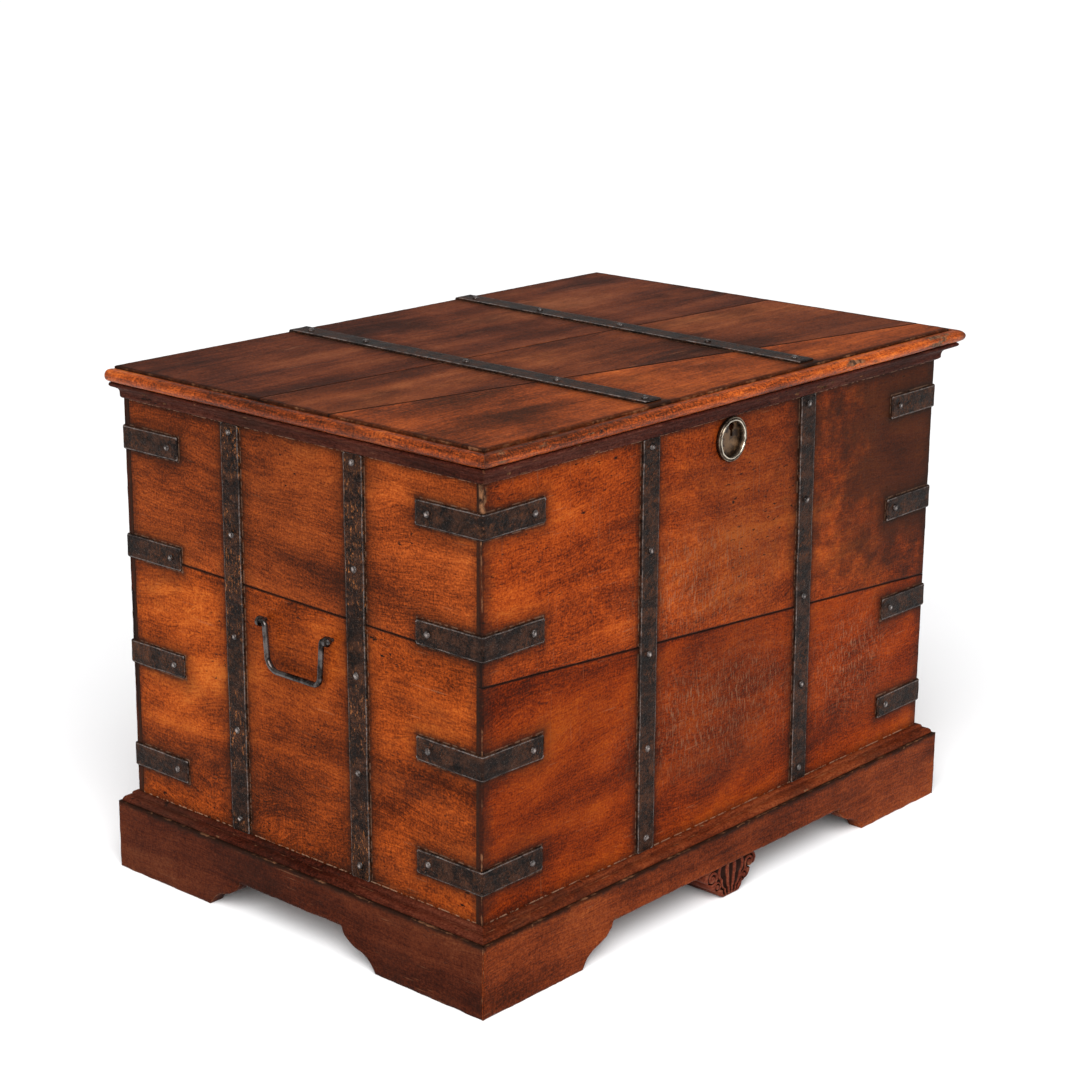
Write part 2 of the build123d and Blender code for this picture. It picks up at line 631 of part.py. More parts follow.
# corner brackets, four up each corner
for _cx, _cy, _name in ((-1, -1, "front_left"), (1, -1, "front_right"), (-1, 1, "back_left"), (1, 1, "back_right")):
    _fx = _cx * CASE_X
    _fy = CASE_F if _cy < 0 else CASE_B
    with BuildPart() as corner_brackets:
        for _z in BRACKET_Z:
            with BuildSketch(Plane.XY.offset(_z - BRACKET_H / 2)):
                with BuildLine():
                    Polyline((_fx - _cx * BRACKET_ARM, _fy), (_fx, _fy), (_fx, _fy - _cy * BRACKET_ARM),
                             (_fx + _cx * STRAP_T, _fy - _cy * BRACKET_ARM),
                             (_fx + _cx * STRAP_T, _fy + _cy * STRAP_T),
                             (_fx - _cx * BRACKET_ARM, _fy + _cy * STRAP_T), close=True)
                make_face()
            extrude(amount=BRACKET_H)
        # outside corner rounded, then every edge of the outside faces bevelled
        _outer = corner_brackets.edges().filter_by(Axis.Z).filter_by(
            lambda e: abs(e.center().X - (_fx + _cx * STRAP_T)) < 0.01 and abs(e.center().Y - (_fy + _cy * STRAP_T)) < 0.01)
        fillet(_outer, 2.5)
        _skin = [f for f in corner_brackets.faces()
                 if abs(f.normal_at().X * _cx - 1) < 0.01 and f.area > 500 and f.center().X * _cx > CASE_X + 1
                 or abs(f.normal_at().Y * _cy - 1) < 0.01 and f.area > 500 and (f.center().Y - _fy) * _cy > 1]
        chamfer(ShapeList([e for f in _skin for e in f.edges()
                           if not (abs(abs(e.tangent_at(0.5).Z) - 1) < 0.01
                                   and abs(e.center().X * _cx - _fx * _cx) < 4 and abs(e.center().Y * _cy - _fy * _cy) < 4)]
                          + [e for e in corner_brackets.edges().filter_by(GeomType.CIRCLE)]), BEVEL)
        _fwd = "front" if _cy < 0 else "back"
        _lat = "left" if _cx < 0 else "right"
        drill(_fwd, [p for p in NAILS[_fwd] if abs(abs(p[0]) - (CASE_X - BRACKET_NAIL)) < 1
                     and p[0] * (1 if _fwd == "front" else -1) * _cx > 0])
        _sy = -1 if _lat == "left" else 1
        drill(_lat, [p for p in NAILS[_lat] if abs(_sy * p[0] - (_fy - _cy * BRACKET_NAIL)) < 1])
    solid_label(corner_brackets.part, "corner_brackets_" + _name)


def nails(face):
    """Domed heads with shanks, one solid each, heads on top of the iron."""
    plane = FACES[face].offset(STRAP_T)
    with BuildPart() as group:
        with BuildSketch(plane.offset(-SHANK_L)):
            with Locations(*NAILS[face]):
                Circle(SHANK_R)
        extrude(amount=SHANK_L + 0.4)
        with BuildSketch(plane):
            with Locations(*NAILS[face]):
                Circle(HEAD_R)
        extrude(amount=HEAD_H)
        z = plane.z_dir
        heads = group.faces().filter_by(GeomType.PLANE).group_by(Axis((0, 0, 0), (z.X, z.Y, z.Z)))[-1]
        fillet(heads.edges(), 2.2)
    return group


for _face in ("front", "back", "left", "right", "lid"):
    solid_label(nails(_face).part, "nails_" + _face)


# ---------------------------------------------------------------------------
# bail handles and their eye staples
# ---------------------------------------------------------------------------

for _sign, _side in ((-1, "left"), (1, "right")):
    _px = _sign * (CASE_X + BAIL_OFF)
    with BuildPart() as bail:
        with BuildLine() as _path:
            FilletPolyline((_px, BAIL_MID_Y - BAIL_TIP, BAIL_Z), (_px, BAIL_MID_Y - BAIL_HALF, BAIL_Z),
                           (_px, BAIL_MID_Y - BAIL_HALF + 5, BAIL_Z - BAIL_DROP),
                           (_px, BAIL_MID_Y + BAIL_HALF - 5, BAIL_Z - BAIL_DROP),
                           (_px, BAIL_MID_Y + BAIL_HALF, BAIL_Z), (_px, BAIL_MID_Y + BAIL_TIP, BAIL_Z),
                           radius=[5.0, 12.0, 20.0, 5.0])
        with BuildSketch(Plane(origin=_path.line @ 0, z_dir=_path.line % 0)):
            Circle(BAIL_R)
        sweep()
    solid_label(bail.part, "bail_" + _side)

    with BuildPart() as staples:
        for _k in (-1, 1):
            _y = BAIL_MID_Y + _k * BAIL_EYE
            with BuildSketch(Plane(origin=(0, _y - 2.2, 0), x_dir=(-1, 0, 0), z_dir=(0, 1, 0))):
                with Locations((-_px, BAIL_Z)):
                    Circle(BAIL_BORE_R + 2.8)
            extrude(amount=4.4)
        for _k in (-1, 1):
            _y = BAIL_MID_Y + _k * BAIL_EYE
            with BuildSketch(Plane(origin=(_sign * (CASE_X - 20.0), 0, 0), x_dir=(0, _sign, 0), z_dir=(_sign, 0, 0))):
                with Locations((_sign * _y, BAIL_Z)):
                    Circle(2.5)
            extrude(amount=20.0 + BAIL_OFF - BAIL_BORE_R - 1.0)
            with BuildSketch(Plane(origin=(0, _y - 6, 0), x_dir=(-1, 0, 0), z_dir=(0, 1, 0))):
                with Locations((-_px, BAIL_Z)):
                    Circle(BAIL_BORE_R)
            extrude(amount=12, mode=Mode.SUBTRACT)
    solid_label(staples.part, "bail_staples_" + _side)


# ---------------------------------------------------------------------------
# lock
# ---------------------------------------------------------------------------

with BuildPart() as escutcheon:
    with BuildSketch(Plane(origin=(LOCK_X, CASE_F, LOCK_Z), x_dir=(1, 0, 0), z_dir=(0, 0, 1))):
        with BuildLine():
            # local x is the radius, local y runs into the board
            Polyline((24.4, 3.0), (24.4, -5.6))
            ThreePointArc((24.4, -5.6), (25.3, -6.5), (26.3, -5.6))
            ThreePointArc((26.3, -5.6), (27.3, -4.3), (28.4, -5.0))
            ThreePointArc((28.4, -5.0), (29.4, -5.3), (29.9, -4.2))
            Polyline((29.9, -4.2), (ESC_R, 0), (26.5, 0), (26.5, 3.0), (24.4, 3.0))
        make_face()
    revolve(axis=Axis((LOCK_X, CASE_F, LOCK_Z), (0, 1, 0)))
solid_label(escutcheon.part, "escutcheon")

with BuildPart() as keyhole_plate:
    with BuildSketch(FRONT.offset(-3.0)):
        with Locations((LOCK_X, LOCK_Z)):
            Circle(26.4)
        with Locations((KEY_X, KEY_Z)):
            Circle(5.6, mode=Mode.SUBTRACT)
        with Locations((KEY_X, KEY_Z - KEY_SLOT / 2)):
            Rectangle(5.0, KEY_SLOT, mode=Mode.SUBTRACT)
    extrude(amount=-1.5)
solid_label(keyhole_plate.part, "keyhole_plate")

LC_Y0 = IN_F                 # against the inside of the front board
LC_Y1 = IN_F + 18.0
LC_X0, LC_X1 = LOCK_X - 52.0, LOCK_X + 48.0
LC_Z0, LC_Z1 = 612.0, 690.0
BOLT_Y = IN_F + 9.0
BOLT_Z = 679.0
LOOP_X = LOCK_X - 8.0

with BuildPart() as lock_case:
    with Locations(((LC_X0 + LC_X1) / 2, (LC_Y0 + LC_Y1) / 2, (LC_Z0 + LC_Z1) / 2)):
        Box(LC_X1 - LC_X0, 18.0, LC_Z1 - LC_Z0)
        Box(LC_X1 - LC_X0 - 4.0, 14.0, LC_Z1 - LC_Z0 - 4.0, mode=Mode.SUBTRACT)
    # slot in the top for the catch
    with Locations((LOOP_X, BOLT_Y, LC_Z1)):
        Box(8.0, 15.0, 10.0, mode=Mode.SUBTRACT)
    # way for the key in the side towards the board
    with BuildSketch(FRONT.offset(-BOARD_T - 1.0)):
        with Locations((KEY_X, KEY_Z)):
            Circle(5.8)
        with Locations((KEY_X, KEY_Z - KEY_SLOT / 2)):
            Rectangle(5.2, KEY_SLOT)
    extrude(amount=-1.5, both=True, mode=Mode.SUBTRACT)
    # guides of the bolt, and the post the key turns on
    with Locations((LOCK_X + 4.0, BOLT_Y, BOLT_Z), (LOCK_X + 34.0, BOLT_Y, BOLT_Z)):
        Box(3.0, 14.6, 14.0)
    with Locations((LOCK_X + 20.0, BOLT_Y, BOLT_Z)):
        Box(40.0, 6.6, 6.6, mode=Mode.SUBTRACT)
    with BuildSketch(Plane(origin=(KEY_X, LC_Y1 - 1.0, KEY_Z), x_dir=(1, 0, 0), z_dir=(0, -1, 0))):
        Circle(1.8)
    extrude(amount=16.0)
solid_label(lock_case.part, "lock_case")

with BuildPart() as lock_bolt:
    with Locations((LOCK_X + 21.75, BOLT_Y, BOLT_Z)):
        Box(47.5, 6.0, 6.0)
    with Locations((LOCK_X + 22.0, BOLT_Y, BOLT_Z - 8.5)):
        Box(5.0, 3.0, 12.0)
    chamfer(lock_bolt.faces().sort_by(Axis.X)[0].edges(), 0.8)
solid_label(lock_bolt.part, "lock_bolt")

with BuildPart() as lock_catch:
    with Locations((LOOP_X, BOLT_Y, LID_Z0 - 1.25)):
        Box(46.0, 13.0, 2.5)
    with Locations((LOOP_X, BOLT_Y, (LID_Z0 - 2.5 + 671.5) / 2)):
        Box(4.5, 12.0, LID_Z0 - 2.5 - 671.5)
    with Locations((LOOP_X, BOLT_Y, BOLT_Z)):
        Box(10.0, 7.2, 8.0, mode=Mode.SUBTRACT)
solid_label(lock_catch.part, "lock_catch")
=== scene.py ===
import json
import math

import bpy
import numpy as np
from mathutils import Matrix, Vector

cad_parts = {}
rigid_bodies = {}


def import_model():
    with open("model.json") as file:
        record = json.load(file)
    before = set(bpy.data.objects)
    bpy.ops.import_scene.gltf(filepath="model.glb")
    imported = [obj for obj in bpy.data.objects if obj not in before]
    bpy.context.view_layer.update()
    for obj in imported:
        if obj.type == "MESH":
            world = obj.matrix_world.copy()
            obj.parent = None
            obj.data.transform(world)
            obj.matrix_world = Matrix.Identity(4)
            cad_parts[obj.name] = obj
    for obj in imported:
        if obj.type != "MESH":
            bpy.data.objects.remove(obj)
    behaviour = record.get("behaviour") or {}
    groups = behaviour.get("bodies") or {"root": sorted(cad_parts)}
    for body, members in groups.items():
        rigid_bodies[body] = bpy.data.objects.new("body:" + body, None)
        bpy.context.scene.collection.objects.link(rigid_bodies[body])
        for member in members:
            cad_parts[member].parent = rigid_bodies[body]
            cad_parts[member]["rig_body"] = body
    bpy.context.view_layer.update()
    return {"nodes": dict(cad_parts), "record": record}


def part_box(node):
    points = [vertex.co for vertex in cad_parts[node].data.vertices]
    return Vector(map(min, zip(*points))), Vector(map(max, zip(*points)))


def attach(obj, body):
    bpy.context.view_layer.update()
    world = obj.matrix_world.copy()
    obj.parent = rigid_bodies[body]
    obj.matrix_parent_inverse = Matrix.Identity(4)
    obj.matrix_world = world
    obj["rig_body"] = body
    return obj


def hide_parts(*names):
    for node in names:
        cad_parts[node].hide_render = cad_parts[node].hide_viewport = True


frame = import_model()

SCENE = bpy.context.scene
NODES = frame["nodes"]
NODE_BODY = {n: o["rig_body"] for n, o in NODES.items()}
NODE_SLOT = {s["node"]: s["material_slot"] for s in frame["record"]["subparts"]}


# ---------------------------------------------------------------------------
# where things are: everything is read from the CAD frame
# ---------------------------------------------------------------------------

def B(node):
    lo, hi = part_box(node)
    return np.array(lo, float), np.array(hi, float)


def islands(node):
    """Boxes of the separate solids of a CAD node."""
    me = NODES[node].data
    n = len(me.vertices)
    co = np.zeros(n * 3)
    me.vertices.foreach_get("co", co)
    co = co.reshape(-1, 3)
    # vertices that share a place are one
    _, inv = np.unique(np.round(co * 1e6).astype(np.int64), axis=0, return_inverse=True)
    inv = inv.ravel()
    e = np.zeros(len(me.edges) * 2, np.int32)
    me.edges.foreach_get("vertices", e)
    e = inv[e].reshape(-1, 2)
    lab = np.arange(inv.max() + 1)
    while True:
        new = lab.copy()
        np.minimum.at(new, e[:, 0], lab[e[:, 1]])
        np.minimum.at(new, e[:, 1], lab[e[:, 0]])
        new = new[new]
        if (new == lab).all():
            break
        lab = new
    lv = lab[inv]
    out = []
    for k in np.unique(lv):
        p = co[lv == k]
        out.append((p.min(0), p.max(0)))
    return out


fbu, fbl = B("front_board_upper"), B("front_board_lower")
bbu, bbl = B("back_board_upper"), B("back_board_lower")
lbu, lbl = B("left_board_upper"), B("left_board_lower")
CX = fbu[1][0]                      # half width of the case
CF = fbu[0][1]                      # front face
CB = bbu[1][1]                      # back face
CZ0, CZ1 = fbl[0][2], fbu[1][2]
BT = fbu[1][1] - fbu[0][1]          # board thickness
SY0, SY1 = lbu[0][1], lbu[1][1]     # side boards' run
LAPF = SY0 - CF
ldf, ldm, ldb = B("lid_board_front"), B("lid_board_middle"), B("lid_board_back")
LX, LF, LB = ldf[1][0], ldf[0][1], ldb[1][1]
LZ0, LZ1 = ldf[0][2], ldf[1][2]
pf, pb_, pl = B("plinth_front"), B("plinth_back"), B("plinth_left")
PX, PF, PB, PZ = pf[1][0], pf[0][1], pb_[1][1], pf[1][2]
PTF, PTB = pf[1][1] - pf[0][1], pb_[1][1] - pb_[0][1]
PC = (PF + PB) / 2
cof = B("cornice_front")
COR_Z0, COR_Z1 = cof[0][2], cof[1][2]
cap = B("plinth_cap_front")
CAP_Z = cap[1][2]


def lin(a, b, fa, fb):
    return lambda t: fa + (fb - fa) * (np.asarray(t, float) - a) / (b - a)


front_seam = lin(-CX, CX, fbl[1][2], fbu[0][2])
back_seam = lin(-CX, CX, bbu[0][2], bbl[1][2])
side_seam = lin(SY0, SY1, lbu[0][2], lbl[1][2])
seam_a = lin(-LX, LX, ldf[1][1], ldm[0][1])
seam_b = lin(-LX, LX, ldm[1][1], ldb[0][1])


# ---------------------------------------------------------------------------
# smooth noise, the same on every run
# ---------------------------------------------------------------------------

def _hash(ix, iy, iz, seed):
    h = (ix * 374761393 + iy * 668265263 + iz * 2147483647 + seed * 1274126177) & 0xFFFFFFFF
    h = ((h ^ (h >> 13)) * 1274126177) & 0xFFFFFFFF
    h = h ^ (h >> 16)
    return (h & 0xFFFFFF) / float(0xFFFFFF) * 2.0 - 1.0


def vnoise(p, seed=0):
    p = np.asarray(p, float)
    i = np.floor(p).astype(np.int64)
    f = p - i
    f = f * f * f * (f * (f * 6 - 15) + 10)
    out = 0.0
    for dx in (0, 1):
        wx = f[..., 0] if dx else 1 - f[..., 0]
        for dy in (0, 1):
            wy = f[..., 1] if dy else 1 - f[..., 1]
            for dz in (0, 1):
                wz = f[..., 2] if dz else 1 - f[..., 2]
                out = out + wx * wy * wz * _hash(i[..., 0] + dx, i[..., 1] + dy, i[..., 2] + dz, seed)
    return out


def fbm(p, seed=0, octaves=3):
    p = np.asarray(p, float)
    a, s, out = 1.0, 0.0, 0.0
    for k in range(octaves):
        out = out + a * vnoise(p * 2 ** k, seed + 17 * k)
        s += a
        a *= 0.5
    return out / s


def smooth(a, b, x):
    t = np.clip((np.asarray(x, float) - a) / (b - a), 0, 1)
    return t * t * (3 - 2 * t)


# ---------------------------------------------------------------------------
# making mesh pieces
# ---------------------------------------------------------------------------

PIECES = {}


def make(name, verts, faces, smooth_faces=None, attrs=None, body="chest", slot=None, mat=None, replaces=()):
    me = bpy.data.meshes.new(name)
    me.from_pydata([tuple(v) for v in np.asarray(verts, float)], [], faces)
    me.validate(verbose=False)
    me.update()
    if smooth_faces is None:
        me.polygons.foreach_set("use_smooth", np.ones(len(me.polygons), bool))
    else:
        me.polygons.foreach_set("use_smooth", np.asarray(smooth_faces, bool)[: len(me.polygons)])
    for k, v in (attrs or {}).items():
        at = me.attributes.new(k, "FLOAT", "POINT")
        at.data.foreach_set("value", np.asarray(v, np.float32))
    ob = bpy.data.objects.new(name, me)
    SCENE.collection.objects.link(ob)
    if mat is not None:
        me.materials.append(mat)
    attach(ob, body)
    if replaces:
        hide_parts(*replaces)
    PIECES[name] = ob
    return ob


class Mesh:
    """Collects vertices, faces, shading and one or more attributes."""

    def __init__(self):
        self.v, self.f, self.s, self.a = [], [], [], {}
        self.n = 0

    def add(self, verts, faces, smooth_flag=True, **attrs):
        verts = np.asarray(verts, float).reshape(-1, 3)
        for f in faces:
            self.f.append([int(i) + self.n for i in f])
        self.s += list(smooth_flag) if hasattr(smooth_flag, "__len__") else [smooth_flag] * len(faces)
        self.v.append(verts)
        for k in set(self.a) | set(attrs):
            self.a.setdefault(k, [np.zeros(self.n)] if self.n else [])
            x = attrs.get(k, 0.0)
            self.a[k].append(np.broadcast_to(np.asarray(x, float), (len(verts),)).copy())
        self.n += len(verts)

    def build(self, name, **kw):
        return make(name, np.vstack(self.v), self.f, self.s, {k: np.concatenate(v) for k, v in self.a.items()}, **kw)


def grid_faces(nr, nc, start=0, wrap=False):
    """Quads of a grid with nr rows and nc columns of vertices."""
    r = np.arange(nr - 1)[:, None]
    c = np.arange(nc if wrap else nc - 1)[None, :]
    c1 = (c + 1) % nc
    a = start + r * nc + c
    b = start + r * nc + c1
    d = start + (r + 1) * nc + c
    e = start + (r + 1) * nc + c1
    return np.stack([a, b, e, d], -1).reshape(-1, 4).tolist()


def spaced(a, b, step, ends=()):
    """Positions from a to b, about step apart, with finer ones at given distances from both ends."""
    n = max(2, int(round((b - a) / step)))
    t = np.linspace(a, b, n + 1)
    extra = [a + e for e in ends] + [b - e for e in ends]
    keep = [x for x in t if all(abs(x - y) > step * 0.3 for y in extra) or x in (t[0], t[-1])]
    return np.unique(np.round(np.array(keep + extra), 7))


# outward directions of the four walls and the lid: (u, v, n) -> xyz
def wall_front(u, v, n):
    return np.stack([u, CF - n, v + 0 * u], -1)


def wall_back(u, v, n):
    return np.stack([u, CB + n, v + 0 * u], -1)


def wall_left(u, v, n):
    return np.stack([-CX - n, u, v + 0 * u], -1)


def wall_right(u, v, n):
    return np.stack([CX + n, u, v + 0 * u], -1)


def lid_top(u, v, n):
    return np.stack([u, v, LZ1 + n + 0 * u], -1)


def slab(node, P, u0, u1, vb, vt, thick, mat, back=None, step=0.0045, seed=0, edge=0.0009, wave=0.00035,
         hole=None, flip=False, chip=None, gap_b=0.0, gap_t=0.0):
    """A board: a dense outer face with rounded, worn arrises, plain walls and a plain inner face.

    vb and vt give the lower and upper edge as functions of u. back is the
    profile of the inner face as (u, depth) pairs.
    """
    ends = (edge * 0.35, edge, edge * 2.2)
    us = spaced(u0, u1, step, ends)
    mid = (u0 + u1) / 2
    vs01 = spaced(0, float(vt(mid) - vb(mid)), step, ends)
    vs01 = vs01 / vs01[-1]
    U, T = np.meshgrid(us, vs01)
    lo, hi = vb(U) + gap_b, vt(U) - gap_t
    V = lo + (hi - lo) * T
    # distance to the nearest edge
    d = np.minimum(np.minimum(U - u0, u1 - U), np.minimum(V - lo, hi - V))
    P3 = np.stack([U * 1.0, V * 1.0, np.full_like(U, seed * 3.1)], -1)
    wob = 1 + 0.8 * fbm(P3 * 45, seed + 5, 2) + 0.5 * fbm(P3 * 160, seed + 6, 2)
    k = np.clip(1 - d / (edge * 2.2), 0, 1)
    N = -edge * np.clip(wob, 0.25, 2.4) * k ** 2.2
    N = N + wave * fbm(P3 * np.array([5.0, 14.0, 1.0]), seed, 3) * smooth(0, 0.02, d) - wave * 0.6 * smooth(0, 0.02, d)
    att_chip = np.zeros_like(U)
    if chip is not None:
        dn, att_chip = chip(U, V)
        N = N + dn
    nr, nc = U.shape
    outer = P(U, V, N).reshape(-1, 3)
    faces = grid_faces(nr, nc)
    m = Mesh()
    back = back or [(u0, -thick), (u1, -thick)]
    bu = np.array([b[0] for b in back])
    bn = np.array([b[1] for b in back])
    bb = P(bu, vb(bu) + gap_b, bn)
    bt = P(bu, vt(bu) - gap_t, bn)
    nb = len(bu)
    base = nr * nc
    allv = np.vstack([outer, bb, bt])
    fs = list(faces)
    sm = [True] * len(faces)
    if hole is not None:
        (hu, hv), hr, hd = hole
        cu = U.reshape(-1)[np.array(faces)].mean(1)
        cv = V.reshape(-1)[np.array(faces)].mean(1)
        inside = (cu - hu) ** 2 + (cv - hv) ** 2 < hr ** 2
        kept = [f for f, i in zip(faces, inside) if not i]
        cut = [f for f, i in zip(faces, inside) if i]
        cnt = {}
        for f in cut:
            for a, b in zip(f, f[1:] + f[:1]):
                cnt[(a, b)] = cnt.get((a, b), 0) + 1
        rim = {a: b for (a, b) in cnt if (b, a) not in cnt}
        start = next(iter(rim))
        loop = [start]
        while rim[loop[-1]] != start:
            loop.append(rim[loop[-1]])
        lu, lv = U.reshape(-1)[loop], V.reshape(-1)[loop]
        ang = np.arctan2(lv - hv, lu - hu)
        lu, lv = hu + hr * np.cos(ang), hv + hr * np.sin(ang)
        allv[loop] = P(lu, lv, 0 * lu)
        low = P(lu, lv, 0 * lu - hd)
        first = len(allv)
        allv = np.vstack([allv, low])
        fs = list(kept)
        sm = [True] * len(kept)
        L = len(loop)
        for i in range(L):
            j = (i + 1) % L
            fs.append([loop[i], loop[j], first + j, first + i])
            sm.append(True)
        fs.append([first + i for i in range(L)])
        sm.append(False)
    row0 = list(range(nc))
    rown = [(nr - 1) * nc + c for c in range(nc)]
    col0 = [r * nc for r in range(nr)]
    coln = [r * nc + nc - 1 for r in range(nr)]
    BBi = [base + i for i in range(nb)]
    BTi = [base + nb + i for i in range(nb)]
    fs.append(row0[::-1] + BBi)
    fs.append(rown + BTi[::-1])
    fs.append(col0 + [BTi[0], BBi[0]])
    fs.append(coln[::-1] + [BBi[-1], BTi[-1]])
    for i in range(nb - 1):
        fs.append([BBi[i], BTi[i], BTi[i + 1], BBi[i + 1]])
    sm += [False] * (4 + nb - 1)
    if flip:
        fs = [f[::-1] for f in fs]
    extra = len(allv) - outer.shape[0]
    ds = np.full(U.shape, 9.0)
    if gap_b:
        ds = np.minimum(ds, V - lo)
    if gap_t:
        ds = np.minimum(ds, hi - V)
    seam = np.exp(-ds / 0.0013)
    rub = np.exp(-d / 0.004) * (1 - np.exp(-ds / 0.006))
    m.add(allv, fs, sm, edge=np.concatenate([rub.ravel(), np.zeros(extra)]),
          seam=np.concatenate([seam.ravel(), np.zeros(extra)]),
          chip=np.concatenate([att_chip.ravel(), np.zeros(extra)]))
    return m.build(node + "_v", body=NODE_BODY[node], slot=NODE_SLOT[node], mat=mat, replaces=[node])


def arc_pts(a, b, c, n):
    """n+1 points on the circle arc through a, b and c."""
    (x1, y1), (x2, y2), (x3, y3) = a, b, c
    d = 2 * (x1 * (y2 - y3) + x2 * (y3 - y1) + x3 * (y1 - y2))
    ux = ((x1 ** 2 + y1 ** 2) * (y2 - y3) + (x2 ** 2 + y2 ** 2) * (y3 - y1) + (x3 ** 2 + y3 ** 2) * (y1 - y2)) / d
    uy = ((x1 ** 2 + y1 ** 2) * (x3 - x2) + (x2 ** 2 + y2 ** 2) * (x1 - x3) + (x3 ** 2 + y3 ** 2) * (x2 - x1)) / d
    t1, t2, t3 = (math.atan2(p[1] - uy, p[0] - ux) for p in (a, b, c))
    r = math.hypot(x1 - ux, y1 - uy)
    while t2 < t1:
        t2 += 2 * math.pi
    while t3 < t1:
        t3 += 2 * math.pi
    if t2 > t3:
        t2 -= 2 * math.pi
        t3 -= 2 * math.pi
    return [(ux + r * math.cos(t), uy + r * math.sin(t)) for t in np.linspace(t1, t3, n + 1)]


def moulding(node, prof, P, s0, s1, mat, seed=0, amp=0.0003, step=0.004, chips=None, flip=False, bonded=0.0004):
    """Runs a closed section (u outwards, z up) along a side. s0 and s1 are the ends as functions of u."""
    prof = np.array(prof)
    m = len(prof)
    # outward normal of the section at each point
    nxt, prv = np.roll(prof, -1, 0), np.roll(prof, 1, 0)
    tan = nxt - prv
    nor = np.stack([tan[:, 1], -tan[:, 0]], -1)
    nor /= np.maximum(np.linalg.norm(nor, axis=1, keepdims=True), 1e-9)
    area = 0.5 * np.sum(prof[:, 0] * nxt[:, 1] - nxt[:, 0] * prof[:, 1])
    if area < 0:
        nor = -nor
    umax = prof[:, 0].max()
    L = float(abs(s1(umax) - s0(umax)))
    t = spaced(0, L, step, (0.0006, 0.0018)) / L
    u, z = prof[:, 0][None, :], prof[:, 1][None, :]
    a, b = s0(prof[:, 0])[None, :], s1(prof[:, 0])[None, :]
    S = a + (b - a) * t[:, None]
    Q = np.stack([S, u + 0 * S, z + 0 * S], -1)
    live = smooth(bonded, 0.0025, u + 0 * S)
    dn = amp * (fbm(Q * np.array([7, 60, 60.0]), seed, 3) + 0.7 * fbm(Q * np.array([90, 200, 200.0]), seed + 3, 2)) - amp * 0.5
    chip = np.zeros_like(S)
    if chips is not None:
        ddn, chip = chips(S, u + 0 * S, z + 0 * S)
        dn = dn + ddn
    endd = np.minimum(t, 1 - t)[:, None] * L
    dn = dn - 0.0006 * np.exp(-endd / 0.0012) * (umax > 0)
    dn = dn * live
    U = u + nor[None, :, 0] * dn
    Z = z + nor[None, :, 1] * dn
    verts = P(U, S, Z).reshape(-1, 3)
    nr = len(t)
    faces = grid_faces(nr, m, wrap=True)
    capa = list(range(m))[::-1]
    capb = [(nr - 1) * m + i for i in range(m)]
    faces += [capa, capb]
    if flip:
        faces = [f[::-1] for f in faces]
    # how close a point is to an outer arris
    curv = np.abs(np.cross(prof - prv, nxt - prof)) / np.maximum(
        np.linalg.norm(prof - prv, axis=1) * np.linalg.norm(nxt - prof, axis=1), 1e-12)
    edge = np.clip(curv, 0, 1)[None, :] * live + np.exp(-endd / 0.002)
    me = Mesh()
    me.add(verts, faces, [True] * (len(faces) - 2) + [False, False], edge=np.clip(edge, 0, 1).ravel(),
           chip=chip.ravel())
    ob = me.build(node + "_v", body=NODE_BODY[node], slot=NODE_SLOT[node], mat=mat, replaces=[node])
    return ob


